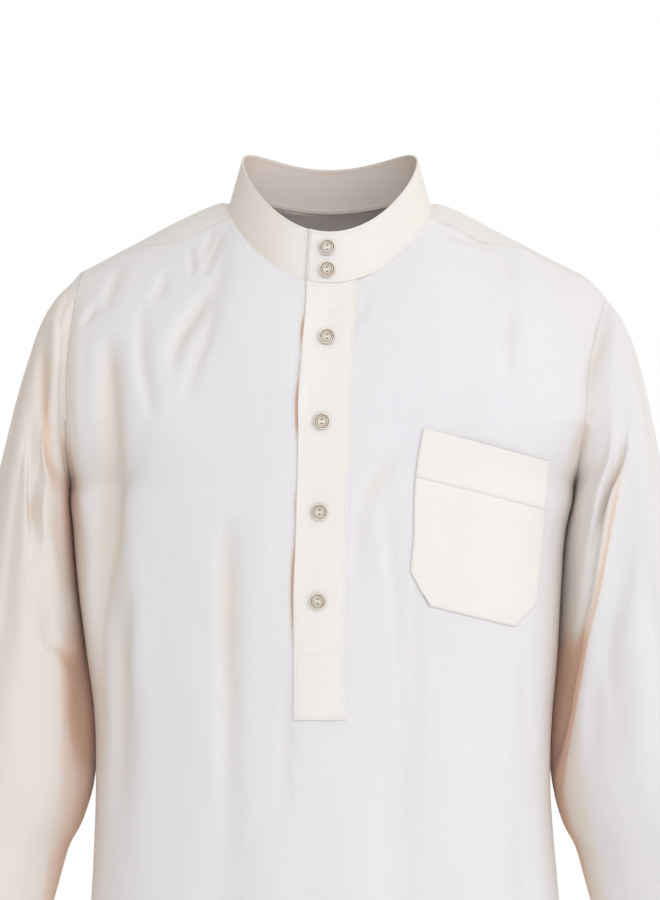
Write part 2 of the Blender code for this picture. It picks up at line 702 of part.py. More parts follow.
def rounded_hit(surface, x, z):
    """The same, with the normal taken over a small patch, so that it doesn't jump from facet to facet."""
    place, normal = hit_from_front(surface, x, z)
    for dx, dz in ((NORMAL_REACH, 0.0), (-NORMAL_REACH, 0.0), (0.0, NORMAL_REACH), (0.0, -NORMAL_REACH)):
        normal = normal + hit_from_front(surface, x + dx, z + dz)[1]
    return place, unit(normal)


def add_pocket(surface, material):
    """The pocket's body and its top band, laid on the front and bulging a little from it."""
    places = np.concatenate((
        np.linspace(0.0, POCKET_BAND_SHARE, POCKET_BAND_STEPS + 1),
        np.linspace(POCKET_BAND_SHARE, 1.0 - POCKET_CLIP, POCKET_BODY_STEPS + 1)[1:],
        np.linspace(1.0 - POCKET_CLIP, 1.0, POCKET_CLIP_STEPS + 1)[1:],
    ))
    corner = np.array(POCKET_CORNER)
    across = np.array(POCKET_ACROSS)
    down = np.array(POCKET_DOWN)
    faces, rears = [], []
    for v in places:
        clip = max(v - (1.0 - POCKET_CLIP), 0.0)
        face_row, rear_row = [], []
        for i in range(POCKET_STEPS_ACROSS + 1):
            u = clip + (1.0 - 2.0 * clip) * i / POCKET_STEPS_ACROSS
            bow = -POCKET_SIDE_BOW * math.sin(math.pi * min(v / POCKET_BOW_SHARE, 1.0)) * (1.0 - u)
            x, z = corner + across * u + down * v
            place, normal = rounded_hit(surface, x + bow, z)
            bulge = POCKET_BULGE * math.sin(math.pi * u) * math.cos(math.pi * v / 2.0)
            rear_row.append(place + normal * (POCKET_EDGE_OFF + bulge))
            face_row.append(place + normal * (POCKET_EDGE_OFF + bulge + TRIM_WALL))
        faces.append(face_row)
        rears.append(rear_row)
    faces, rears = np.array(faces), np.array(rears)
    band = slice(0, POCKET_BAND_STEPS + 1)
    for name, rows in (("pocket_band", band), ("pocket", slice(POCKET_BAND_STEPS, None))):
        add_wall(
            name,
            drawn_back(faces[rows], False, SEAM_DRAW_BACK),
            drawn_back(rears[rows], False, SEAM_DRAW_BACK),
            False,
            material,
        )


def add_button(name, surface, x, z, material):
    """A turned button whose back rests just off the cloth at the highest place under it."""
    hits = [hit_from_front(surface, x, z)]
    for i in range(BUTTON_SIDES):
        angle = 2.0 * math.pi * i / BUTTON_SIDES
        for reach in (0.5 * BUTTON_RADIUS, BUTTON_RADIUS):
            hits.append(hit_from_front(surface, x + reach * math.cos(angle), z + reach * math.sin(angle)))
    normal = unit(sum(hit[1] for hit in hits))
    place = hits[0][0]
    place = place + normal * max(float((hit[0] - place) @ normal) for hit in hits)
    mesh = bmesh.new()
    rings = []
    for radius, height in BUTTON_PROFILE:
        level = GAP + height * BUTTON_THICKNESS
        count = BUTTON_SIDES if radius > 0.0 else 1
        ring = []
        for i in range(count):
            angle = 2.0 * math.pi * i / BUTTON_SIDES
            reach = radius * BUTTON_RADIUS
            ring.append(mesh.verts.new((reach * math.cos(angle), reach * math.sin(angle), level)))
        rings.append(ring)
    for low, high in zip(rings, rings[1:]):
        for i in range(BUTTON_SIDES):
            k = (i + 1) % BUTTON_SIDES
            if len(low) == 1:
                mesh.faces.new((low[0], high[k], high[i]))
            elif len(high) == 1:
                mesh.faces.new((low[i], low[k], high[0]))
            else:
                mesh.faces.new((low[i], low[k], high[k], high[i]))
    bmesh.ops.recalc_face_normals(mesh, faces=mesh.faces)
    button = new_object(name, mesh, material, sharp=30.0)
    button.location = Vector(place)
    button.rotation_mode = "QUATERNION"
    button.rotation_quaternion = Vector(normal).to_track_quat("Z", "Y")
    return button


def placket_middle(z):
    """Where the placket's middle line lies, as seen from the front."""
    if z < CHEST_Z:
        return body_at("centre_x", z)
    top_z = neck_point(0.0)[2]
    share = float(ease((z - top_z) / (CHEST_Z - top_z)))
    return PLACKET_TOP_X + (body_at("centre_x", CHEST_Z) - PLACKET_TOP_X) * share


def middle_line(points):
    """Points inside the body's tube, level with the given ones."""
    return np.stack((np.zeros(points.shape[:-1]), np.zeros(points.shape[:-1]), points[..., 2]), axis=-1)


def sleeve_middle(points):
    """The middle of each of a sleeve's rings."""
    return np.broadcast_to(points.mean(axis=1, keepdims=True), points.shape)


def low_middle(points):
    """A point in the middle of the robe, which its front and back face away from."""
    return np.broadcast_to(np.array((0.0, 0.0, 0.5 * HEM_Z)), points.shape)


def build():
    for obj in list(bpy.data.objects):
        bpy.data.objects.remove(obj)
    materials = {name: make_material(name) for name in MATERIALS}

    front_cols = front_columns()
    back_cols = back_columns()
    front = body_grid(front_cols, True)
    back = body_grid(back_cols, False)
    armpit_row = row_at(ARMPIT_Z)

    neck_front = front[0, SEAM_STEPS:-SEAM_STEPS]
    neck_back = back[0, SEAM_STEPS:-SEAM_STEPS]
    slit = [i for i, c in enumerate(front_cols) if c.offset is not None and abs(c.offset) <= SLIT_HALF_WIDTH]
    armholes = {
        "sleeve_right": (front[:, 0], back[:, 0], SLEEVE_RIGHT),
        "sleeve_left": (front[:, -1], back[:, -1], SLEEVE_LEFT),
    }
    panels = {"front": (front, False), "back": (back, False)}
    for name, (front_edge, back_edge, rows) in armholes.items():
        armhole = np.concatenate((front_edge[: armpit_row + 1], back_edge[1:armpit_row][::-1]))
        panels[name] = (sleeve_grid(armhole, rows), True)

    # The collar runs from its hidden end, round the wearer's right side and the back, to its free end,
    # which lies outside the hidden one
    placket_cols = [i for i, c in enumerate(front_cols) if c.offset is not None]
    first, last = placket_cols[0] - SEAM_STEPS, placket_cols[-1] - SEAM_STEPS
    neckline = np.concatenate((neck_front[::-1], neck_back[1:-1]))
    panels["collar"] = (collar_grid(neckline), True)
    middles = {
        "front": low_middle, "back": low_middle, "collar": middle_line,
        "sleeve_right": sleeve_middle, "sleeve_left": sleeve_middle,
    }
    normals = outward_normals(panels, middles)

    def in_slit(i, j):
        return j == slit[0] and i < row_at(SLIT_END_Z)

    add_panel("front", front, normals["front"], materials["panel"], missing=in_slit)
    add_panel("back", back, normals["back"], materials["panel"])
    for name in armholes:
        add_sleeve(name, panels[name][0], normals[name], materials["sleeve"])

    ring, ring_normals = panels["collar"][0], normals["collar"]
    count = ring.shape[1]
    start = len(neck_front) - 1 - last
    stop = count + len(neck_front) - 1 - first
    order = np.arange(start, stop + 1)
    out = np.zeros(len(order))
    for i, place in enumerate(order):
        if place >= count:
            past = (neckline[place % count][0] - COLLAR_LAP_X[0]) / (COLLAR_LAP_X[1] - COLLAR_LAP_X[0])
            out[i] = COLLAR_LAP_OUT * (1.0 - float(ease(past)))
    collar_normals = ring_normals[:, order % count]
    collar = ring[:, order % count] + collar_normals * out[None, :, None]
    add_cloth("collar", collar, collar_normals, materials["trim"], wall=COLLAR_WALL)

    # Placket and button strip, made from the front's own points
    cols = slice(placket_cols[0], placket_cols[-1] + 1)
    end = row_at(PLACKET_END_Z) + 1
    under_end = row_at(UNDER_END_Z) + 1
    rows = front[:end, cols]
    out = normals["front"][:end, cols]
    add_wall(
        "placket",
        drawn_back(rows + out * (GAP + TRIM_WALL), False, 2 * SEAM_DRAW_BACK),
        drawn_back(rows + out * GAP, False, 2 * SEAM_DRAW_BACK),
        False,
        materials["trim"],
    )
    rows = front[1:under_end, cols]
    out = normals["front"][1:under_end, cols]
    add_wall(
        "placket_under",
        drawn_back(rows - out * (CLOTH_WALL + GAP), False, SEAM_DRAW_BACK),
        drawn_back(rows - out * (CLOTH_WALL + GAP + TRIM_WALL), False, SEAM_DRAW_BACK),
        False,
        materials["trim"],
    )

    add_pocket(surface_of(front), materials["trim"])
    placket_face = surface_of(front[:end, cols] + normals["front"][:end, cols] * (GAP + TRIM_WALL))
    collar_face = surface_of(collar)
    spots = [(collar_face, PLACKET_TOP_X + 2 * BUTTON_OFF_CENTRE, z) for z in COLLAR_BUTTON_Z]
    spots += [(placket_face, placket_middle(z) + BUTTON_OFF_CENTRE, z) for z in PLACKET_BUTTON_Z]
    for i, (surface, x, z) in enumerate(spots):
        add_button(f"button_{i + 1}", surface, x, z, materials["button"])


build()
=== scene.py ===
"""Looks of a long plain cream robe with a band collar, a half placket and a chest pocket.

Units are metres. The front faces -Y, the wearer's left is +X and up is +Z. The cloth pieces follow the same
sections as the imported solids, on finer grids, and carry the small creases, the sewing and the materials.
"""

import math
from collections import namedtuple

import bpy
import numpy as np
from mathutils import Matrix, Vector
from mathutils.bvhtree import BVHTree


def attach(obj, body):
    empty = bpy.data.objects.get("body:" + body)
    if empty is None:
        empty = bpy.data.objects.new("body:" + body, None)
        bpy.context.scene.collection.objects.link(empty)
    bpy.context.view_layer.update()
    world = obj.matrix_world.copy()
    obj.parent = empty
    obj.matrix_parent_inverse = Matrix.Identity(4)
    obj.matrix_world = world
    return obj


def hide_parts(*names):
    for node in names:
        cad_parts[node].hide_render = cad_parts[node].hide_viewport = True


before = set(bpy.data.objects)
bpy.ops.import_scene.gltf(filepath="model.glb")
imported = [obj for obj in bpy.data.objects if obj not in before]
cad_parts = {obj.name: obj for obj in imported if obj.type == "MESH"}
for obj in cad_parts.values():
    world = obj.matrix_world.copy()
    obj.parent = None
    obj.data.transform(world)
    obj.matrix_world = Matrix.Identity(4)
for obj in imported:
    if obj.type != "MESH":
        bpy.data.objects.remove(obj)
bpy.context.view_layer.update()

MM = 0.001

# Cloth walls
CLOTH_WALL = 1.1 * MM
COLLAR_WALL = 1.8 * MM
TRIM_WALL = 1.2 * MM
GAP = 0.3 * MM
ROUND_EDGE = 0.22 * MM
EDGE_SHARE = 0.30
PLACKET_ROUND_EDGE = 0.55 * MM
TRIM_ROUND_EDGE = 0.50 * MM
COLLAR_ROUND_EDGE = 0.40 * MM
COLLAR_TUCK = 1.1 * MM

# Heights of the body
CHEST_Z = -0.190
ARMPIT_Z = -0.250
FINE_END_Z = -0.620
HEM_Z = -1.400

# The collar seam
NECK_HALF_WIDTH = 0.090
NECK_HALF_DEPTH = 0.068
NECK_CENTRE_Y = -0.009
NECK_SIDE_Z = 0.001
NECK_TILT = 0.0345
NECK_SCOOP = 0.0356
NECK_CORNER_Y = -0.023

# Shoulder ridge, and the seam in front of it
RIDGE_Y = 0.010
RIDGE_NECK_X = 0.0896
RIDGE_NECK_Z = 0.010
RIDGE_SLOPE = 0.494
RIDGE_DROP_X = 0.222
RIDGE_DROP = 16.5
RIDGE_CURVE = 16.5
SEAM_FORWARD_AT_NECK = 0.033
SEAM_FORWARD_AT_TIP = 0.015
SEAM_TAPER = (0.130, 0.185)
RIGHT_TIP_X = -0.2225
LEFT_TIP_X = 0.2470
BLADE_FULLNESS = 2.3
UPPER_LEAN = 47.0
UPPER_LEAN_MIDDLE = 24.0
UPPER_LEAN_TIP = 17.0
UPPER_HANDLES = (0.30, 0.38)

# Collar
COLLAR_HEIGHT_FRONT = 0.0445
COLLAR_HEIGHT_BACK = 0.0400
COLLAR_LEAN_IN = 0.0115
COLLAR_BACK_LEAN = 0.25
COLLAR_SIDE_SHIFT = 0.004
COLLAR_LAP_OUT = 0.0024
COLLAR_LAP_X = (0.024, 0.070)
COLLAR_RISES = (
    0.0, 0.015, 0.03, 0.045, 0.06, 0.075, 0.1, 0.2, 0.3, 0.4, 0.5, 0.6, 0.7, 0.8, 0.88, 0.91, 0.925, 0.94,
    0.955, 0.97, 0.985, 1.0,
)

# Placket
PLACKET_HALF_WIDTH = 0.02225
PLACKET_TOP_X = 0.0015
PLACKET_END_Z = -0.4475
UNDER_END_Z = -0.400
SLIT_HALF_WIDTH = 0.0015
SLIT_END_Z = -0.386

# Where the placket's free edge stands off the front
EdgeLift = namedtuple("EdgeLift", "z half_height lift")
EDGE_LIFTS = [EdgeLift(*row) for row in (
    (-0.111, 0.014, 0.0012), (-0.178, 0.022, 0.0021), (-0.262, 0.012, 0.0007), (-0.332, 0.036, 0.0018),
)]
EDGE_LIFT_WIDTH = 0.010
EDGE_LIFT_FALL = 1.5
EDGE_LIFT_MOST = max(row.lift for row in EDGE_LIFTS)

# The box at the placket's lower end, and the two lines sewn across its top
BOX_TOP_Z = -0.389
BOX_LINES_Z = (-0.3835, -0.3920)

# Columns and rows of the placket's strips: distances from each edge, columns between them, and rows
STRIP_EDGE_STEPS = np.array((0.0, 0.9, 2.0, 2.8, 3.4, 4.2, 6.0)) * MM
STRIP_EDGE_WIDTH = 8.5 * MM
STRIP_MIDDLE_STEPS = 11
STRIP_ROW = 3.0 * MM
UNDER_FIRST_ROW = 2

# Pocket, as seen from the front
POCKET_CORNER = (0.0802, -0.1960)
POCKET_ACROSS = (0.1115, -0.0288)
POCKET_DOWN = (-0.0135, -0.1485)
POCKET_BAND_SHARE = 0.285
POCKET_CLIP = 0.165
POCKET_BULGE = 2.2 * MM
POCKET_RIPPLE = 0.55 * MM
POCKET_EDGE_OFF = 0.5 * MM
POCKET_SIDE_BOW = 3.0 * MM
POCKET_BOW_SHARE = 0.6
POCKET_RIPPLES = (2.3, 0.25)
POCKET_BAND_ROWS = 16
POCKET_ROWS = 44
POCKET_MIDDLE = (0.08, 0.92)
POCKET_MIDDLE_STEPS = 34

# Buttons
BUTTON_RADIUS = 7.3 * MM
BUTTON_THICKNESS = 2.6 * MM
BUTTON_OFF_CENTRE = -0.0020
COLLAR_BUTTON_Z = (-0.0385, -0.0580)
PLACKET_BUTTON_Z = (-0.1175, -0.1905, -0.2683, -0.3449)

# Each profile point of a button has its radius and height as shares, and how much painted shade it has
ProfilePoint = namedtuple("ProfilePoint", "radius height dark")
BUTTON_PROFILE = [ProfilePoint(*row) for row in (
    (0.0, 0.0, 0.3), (0.60, 0.0, 0.3), (0.82, 0.05, 0.5), (0.95, 0.26, 0.7), (1.0, 0.50, 0.75),
    (0.995, 0.70, 0.5), (0.97, 0.88, 0.15), (0.93, 0.99, 0.0), (0.87, 1.0, 0.0), (0.83, 0.90, 0.35),
    (0.80, 0.66, 0.9), (0.76, 0.54, 1.0), (0.73, 0.60, 0.7), (0.70, 0.77, 0.0), (0.62, 0.80, 0.0),
    (0.59, 0.68, 0.5), (0.56, 0.52, 0.95), (0.52, 0.52, 0.8), (0.49, 0.66, 0.1), (0.44, 0.67, 0.0),
    (0.41, 0.56, 0.2), (0.38, 0.45, 0.35), (0.34, 0.42, 0.1), (0.20, 0.42, 0.0), (0.0, 0.42, 0.0),
)]
BUTTON_SIDES = 40
BUTTON_CENTRE_HEIGHT = 0.42
HOLE_RADIUS = 0.15
HOLE_OFFSET = 0.20
HOLE_SIDES = 16
HOLE_RISE = 0.04 * MM
BAR_RADIUS = 0.34 * MM
BAR_OFFSET = 0.30 * MM
BAR_ARCH = 0.35 * MM
BAR_PAST_HOLE = 0.02
BAR_STEPS = 8
BAR_SIDES = 8
SEAT_SIDES = 20
SEAT_REACHES = (0.5, 1.0)

# Shares of the columns at the neck
NECK_SHARE_FRONT = 0.36
NECK_SHARE_BACK = 0.42

# Body sections, one row for each height, as in the solids
BodyRow = namedtuple(
    "BodyRow", "z right_x left_x centre_x front_y back_y front_side_y back_side_y turn"
)
BODY = [BodyRow(*row) for row in (
    (-0.190, -0.2325, 0.2250, -0.0050, -0.112, 0.108, -0.056, 0.060, 56),
    (-0.212, -0.2325, 0.2215, -0.0055, -0.114, 0.111, -0.044, 0.050, 63),
    (-0.234, -0.2320, 0.2195, -0.0060, -0.115, 0.113, -0.022, 0.030, 74),
    (-0.250, -0.2310, 0.2175, -0.0065, -0.116, 0.114, 0.004, 0.004, 90),
    (-0.290, -0.2285, 0.2105, -0.0075, -0.117, 0.113, 0.005, 0.005, 90),
    (-0.340, -0.2245, 0.2070, -0.0085, -0.117, 0.110, 0.006, 0.006, 90),
    (-0.386, -0.2188, 0.2040, -0.0089, -0.1155, 0.107, 0.006, 0.006, 90),
    (-0.400, -0.2170, 0.2030, -0.0090, -0.115, 0.106, 0.006, 0.006, 90),
    (-0.4475, -0.2105, 0.1985, -0.0090, -0.114, 0.104, 0.006, 0.006, 90),
    (-0.510, -0.2085, 0.1970, -0.0088, -0.114, 0.105, 0.006, 0.006, 90),
    (-0.590, -0.2120, 0.2020, -0.0080, -0.116, 0.110, 0.006, 0.006, 90),
    (-0.680, -0.2190, 0.2110, -0.0065, -0.119, 0.117, 0.006, 0.006, 90),
    (-0.790, -0.2290, 0.2230, -0.0045, -0.124, 0.124, 0.005, 0.005, 90),
    (-0.910, -0.2400, 0.2350, -0.0030, -0.130, 0.131, 0.005, 0.005, 90),
    (-1.040, -0.2500, 0.2470, -0.0015, -0.137, 0.138, 0.005, 0.005, 90),
    (-1.170, -0.2590, 0.2580, -0.0005, -0.144, 0.145, 0.005, 0.005, 90),
    (-1.290, -0.2670, 0.2670, 0.0, -0.150, 0.151, 0.005, 0.005, 90),
    (-1.400, -0.2740, 0.2740, 0.0, -0.156, 0.157, 0.005, 0.005, 90),
)]
FRONT_FLATNESS = 0.80
BACK_FLATNESS = 0.78

# Rings of each sleeve below the armhole, as in the solids
SleeveRow = namedtuple("SleeveRow", "outer_x outer_y outer_z inner_x inner_y inner_z half_depth")
SLEEVE_RIGHT = [SleeveRow(*row) for row in (
    (-0.2400, 0.002, -0.0750, -0.2350, 0.005, -0.2590, 0.061),
    (-0.2545, 0.000, -0.0970, -0.2370, 0.008, -0.2680, 0.063),
    (-0.2660, -0.003, -0.1265, -0.2375, 0.014, -0.2820, 0.065),
    (-0.2775, -0.007, -0.1640, -0.2365, 0.022, -0.3020, 0.065),
    (-0.2885, -0.011, -0.2100, -0.2335, 0.030, -0.3280, 0.065),
    (-0.3000, -0.016, -0.2620, -0.2285, 0.037, -0.3600, 0.064),
    (-0.3150, -0.022, -0.3350, -0.2200, 0.042, -0.4080, 0.062),
    (-0.3310, -0.030, -0.4180, -0.2140, 0.040, -0.4680, 0.059),
    (-0.3470, -0.039, -0.5080, -0.2250, 0.020, -0.5340, 0.054),
    (-0.3590, -0.045, -0.5780, -0.2390, -0.003, -0.5920, 0.050),
    (-0.3660, -0.048, -0.6320, -0.2510, -0.020, -0.6360, 0.047),
)]
SLEEVE_LEFT = [SleeveRow(*row) for row in (
    (0.2560, 0.002, -0.0920, 0.2215, 0.005, -0.2600, 0.061),
    (0.2665, 0.000, -0.1120, 0.2230, 0.008, -0.2700, 0.063),
    (0.2755, -0.003, -0.1400, 0.2220, 0.014, -0.2850, 0.065),
    (0.2845, -0.007, -0.1760, 0.2190, 0.022, -0.3040, 0.065),
    (0.2940, -0.011, -0.2200, 0.2155, 0.030, -0.3290, 0.065),
    (0.3040, -0.016, -0.2700, 0.2115, 0.037, -0.3600, 0.064),
    (0.3180, -0.022, -0.3400, 0.2060, 0.042, -0.4090, 0.062),
    (0.3330, -0.030, -0.4200, 0.2020, 0.040, -0.4690, 0.059),
    (0.3480, -0.039, -0.5080, 0.2120, 0.020, -0.5350, 0.054),
    (0.3590, -0.045, -0.5780, 0.2260, -0.003, -0.5930, 0.050),
    (0.3660, -0.048, -0.6320, 0.2380, -0.020, -0.6370, 0.047),
)]

# Large folds of the body and the sleeves, as in the solids
Fold = namedtuple("Fold", "top_angle top_z low_angle low_z half_width depth")
FOLDS = [Fold(*row) for row in (
    (-57, -0.120, -62, -0.560, 6.0, -0.0050),
    (-46, -0.240, -52, -0.620, 6.0, 0.0035),
    (-24, -0.330, -26, -0.900, 6.0, -0.0040),
    (20, -0.360, 17, -0.900, 5.5, -0.0040),
    (60, -0.430, 57, -0.800, 6.0, -0.0035),
    (-64, -0.560, -66, -1.460, 9.0, 0.0150),
    (-40, -0.640, -43, -1.460, 8.0, -0.0110),
    (-18, -0.620, -20, -1.460, 8.5, 0.0130),
    (4, -0.700, 5, -1.460, 8.0, -0.0105),
    (27, -0.600, 27, -1.460, 9.0, 0.0140),
    (50, -0.660, 51, -1.460, 8.0, -0.0110),
    (71, -0.560, 73, -1.460, 8.5, 0.0135),
    (104, -0.600, 103, -1.460, 9.0, 0.0130),
    (127, -0.560, 128, -1.460, 8.0, -0.0115),
    (150, -0.260, 148, -1.460, 9.5, 0.0140),
    (173, -0.330, 174, -1.460, 8.0, -0.0120),
    (196, -0.300, 197, -1.460, 9.0, 0.0130),
    (218, -0.560, 219, -1.460, 8.0, -0.0110),
    (241, -0.620, 243, -1.460, 9.0, 0.0135),
    (266, -0.620, 266, -1.460, 8.0, -0.0090),
)]
FOLD_GROWTH = 0.75
FOLD_SWELL = 1.5
FOLD_START = 0.5
SleeveFold = namedtuple("SleeveFold", "top_place top_angle low_place low_angle half_width depth")
SLEEVE_FOLDS = [SleeveFold(*row) for row in (
    (0.10, 62, 0.62, 84, 16, -0.0050),
    (0.34, 24, 0.98, 58, 17, -0.0045),
    (0.30, 128, 0.98, 112, 17, 0.0040),
    (0.16, 236, 0.70, 258, 18, -0.0045),
    (0.42, 300, 1.02, 282, 18, 0.0045),
)]

# Creases seen from the front, from the back, and of the sleeves from each side. Each runs along points in x
# and z, or in y and z for the sleeves' sides, with its half width and depth, negative for a trough. Lean
# raises the cloth on one side of it, to the right of its direction if it is positive.
Crease = namedtuple("Crease", "points half_width depth lean")
FRONT_CREASES = [Crease(*row) for row in (
    (((-0.103, -0.017), (-0.109, -0.033), (-0.115, -0.050)), 0.0034, -0.0024, 0.5),
    (((-0.095, -0.018), (-0.104, -0.041), (-0.113, -0.062)), 0.0036, -0.0025, 0.4),
    (((-0.124, -0.036), (-0.122, -0.050), (-0.122, -0.064)), 0.0032, -0.0026, 0.4),
    (((-0.144, -0.055), (-0.150, -0.073), (-0.158, -0.087)), 0.0050, -0.0022, 0.5),
    (((-0.109, -0.082), (-0.122, -0.101), (-0.134, -0.122), (-0.138, -0.150)), 0.0055, -0.0032, 0.5),
    (((-0.096, -0.088), (-0.106, -0.116), (-0.118, -0.150), (-0.124, -0.176)), 0.0055, -0.0022, -0.4),
    (((-0.088, -0.052), (-0.108, -0.082), (-0.132, -0.112), (-0.150, -0.150)), 0.0085, -0.0018, 0.4),
    (((-0.164, -0.088), (-0.166, -0.124), (-0.161, -0.159), (-0.155, -0.189)), 0.0060, -0.0030, 0.5),
    (((-0.196, -0.110), (-0.195, -0.146), (-0.193, -0.189), (-0.192, -0.241), (-0.196, -0.293),
      (-0.203, -0.336), (-0.205, -0.396), (-0.204, -0.520)), 0.0075, -0.0062, 0.6),
    (((-0.197, -0.120), (-0.196, -0.210), (-0.199, -0.290), (-0.202, -0.370)), 0.0130, -0.0060, 0.3),
    (((-0.174, -0.330), (-0.180, -0.396), (-0.183, -0.540)), 0.0070, -0.0036, -0.4),
    (((-0.090, -0.270), (-0.090, -0.344), (-0.088, -0.560)), 0.0090, -0.0042, 0.3),
    (((-0.038, -0.396), (-0.039, -0.530)), 0.0060, -0.0016, 0.3),
    (((-0.204, -0.084), (-0.212, -0.096), (-0.220, -0.109)), 0.0036, -0.0022, 0.5),
    (((-0.186, -0.050), (-0.195, -0.073), (-0.200, -0.094)), 0.0060, -0.0024, 0.5),
    (((-0.216, -0.086), (-0.221, -0.124), (-0.221, -0.172), (-0.218, -0.232), (-0.213, -0.293)),
     0.0050, 0.0016, 0.0),
    (((0.093, -0.015), (0.110, -0.027), (0.127, -0.033)), 0.0034, -0.0020, 0.5),
    (((0.118, -0.025), (0.133, -0.033), (0.149, -0.040)), 0.0036, -0.0022, 0.5),
    (((0.101, -0.046), (0.116, -0.051), (0.130, -0.050)), 0.0040, -0.0010, 0.4),
    (((0.143, -0.040), (0.154, -0.055), (0.159, -0.077)), 0.0050, -0.0015, 0.5),
    (((0.157, -0.084), (0.153, -0.116), (0.153, -0.162)), 0.0080, -0.0032, 0.5),
    (((0.066, -0.205), (0.053, -0.225), (0.036, -0.247), (0.028, -0.262)), 0.0080, -0.0026, 0.5),
    (((0.050, -0.222), (0.031, -0.256), (0.024, -0.284), (0.023, -0.310), (0.019, -0.344)),
     0.0060, -0.0022, 0.4),
    (((0.047, -0.237), (0.053, -0.310), (0.059, -0.387), (0.063, -0.540)), 0.0055, -0.0024, 0.4),
    (((0.072, -0.331), (0.075, -0.387), (0.074, -0.520)), 0.0060, -0.0022, -0.3),
    (((0.164, -0.379), (0.169, -0.422), (0.175, -0.500)), 0.0050, -0.0015, 0.4),
    (((0.033, -0.081), (0.026, -0.096), (0.019, -0.107)), 0.0040, -0.0012, 0.4),
    (((0.222, -0.103), (0.219, -0.137), (0.213, -0.172), (0.209, -0.198)), 0.0050, 0.0018, 0.0),
    (((-0.021, -0.100), (-0.004, -0.094), (0.013, -0.086)), 0.0050, -0.0010, 0.4),
    (((-0.026, -0.105), (-0.0285, -0.146), (-0.0295, -0.196)), 0.0030, -0.0012, 0.0),
    (((-0.0315, -0.300), (-0.0325, -0.344), (-0.0325, -0.390)), 0.0030, -0.0012, 0.0),
    (((-0.220, -0.067), (-0.226, -0.088), (-0.233, -0.114), (-0.235, -0.136), (-0.236, -0.171),
      (-0.233, -0.215), (-0.228, -0.250), (-0.222, -0.298), (-0.217, -0.346)), 0.0040, -0.0024, 0.3),
    (((-0.231, -0.074), (-0.239, -0.099), (-0.235, -0.127)), 0.0036, -0.0020, 0.4),
    (((-0.250, -0.101), (-0.254, -0.127), (-0.253, -0.171), (-0.249, -0.215), (-0.243, -0.250)),
     0.0050, -0.0032, 0.4),
    (((-0.243, -0.103), (-0.243, -0.136), (-0.242, -0.173)), 0.0045, 0.0014, 0.0),
    (((-0.257, -0.241), (-0.250, -0.276), (-0.241, -0.311), (-0.235, -0.348)), 0.0060, -0.0022, 0.4),
    (((-0.259, -0.338), (-0.257, -0.368), (-0.251, -0.386), (-0.236, -0.401), (-0.223, -0.427)),
     0.0045, -0.0026, 0.5),
    (((-0.228, -0.395), (-0.224, -0.434), (-0.222, -0.500)), 0.0090, -0.0060, 0.0),
    (((0.245, -0.101), (0.236, -0.124), (0.228, -0.147), (0.226, -0.168)), 0.0038, -0.0018, 0.4),
    (((0.226, -0.179), (0.219, -0.206), (0.213, -0.229)), 0.0050, -0.0030, 0.3),
    (((0.262, -0.190), (0.2545, -0.241), (0.2434, -0.298), (0.2346, -0.346), (0.2259, -0.386),
      (0.2110, -0.475), (0.2040, -0.540)), 0.0034, -0.0042, -0.6),
    (((0.268, -0.200), (0.2615, -0.241), (0.2510, -0.298), (0.2425, -0.346), (0.2340, -0.386),
      (0.2200, -0.475), (0.2130, -0.560)), 0.0150, 0.0058, 0.0),
    (((0.226, -0.372), (0.214, -0.425), (0.208, -0.500)), 0.0080, -0.0060, 0.0),
    (((0.238, -0.410), (0.237, -0.447), (0.236, -0.500)), 0.0060, -0.0020, 0.3),
    (((0.243, -0.164), (0.242, -0.206), (0.236, -0.259), (0.228, -0.311)), 0.0050, -0.0014, 0.4),
)]
BACK_CREASES = [Crease(*row) for row in (
    (((-0.150, -0.140), (-0.130, -0.210), (-0.118, -0.300)), 0.0090, -0.0034, 0.5),
    (((0.148, -0.150), (0.132, -0.220), (0.124, -0.320)), 0.0090, -0.0034, -0.5),
    (((-0.190, -0.230), (-0.160, -0.290), (-0.146, -0.380)), 0.0080, -0.0030, 0.5),
    (((0.186, -0.240), (0.160, -0.300), (0.150, -0.390)), 0.0080, -0.0030, -0.4),
    (((-0.060, -0.070), (-0.040, -0.120), (-0.030, -0.190)), 0.0080, -0.0018, 0.4),
    (((0.062, -0.080), (0.046, -0.130), (0.030, -0.210)), 0.0080, -0.0018, -0.4),
    (((-0.060, -0.420), (0.010, -0.440), (0.070, -0.424)), 0.0090, -0.0020, 0.3),
    (((-0.205, -0.120), (-0.198, -0.170), (-0.196, -0.240)), 0.0065, -0.0026, 0.4),
    (((0.212, -0.125), (0.204, -0.180), (0.198, -0.250)), 0.0065, -0.0026, -0.4),
    (((-0.090, -0.360), (-0.096, -0.430), (-0.092, -0.540)), 0.0080, -0.0026, 0.3),
    (((0.100, -0.380), (0.094, -0.450), (0.098, -0.560)), 0.0080, -0.0026, 0.3),
    (((-0.262, -0.150), (-0.258, -0.230), (-0.246, -0.310)), 0.0060, -0.0030, 0.4),
    (((0.268, -0.160), (0.262, -0.240), (0.250, -0.330)), 0.0060, -0.0030, -0.4),
    (((-0.262, -0.360), (-0.276, -0.400), (-0.262, -0.450)), 0.0060, -0.0028, 0.4),
    (((0.262, -0.370), (0.280, -0.410), (0.268, -0.470)), 0.0060, -0.0028, -0.4),
)]
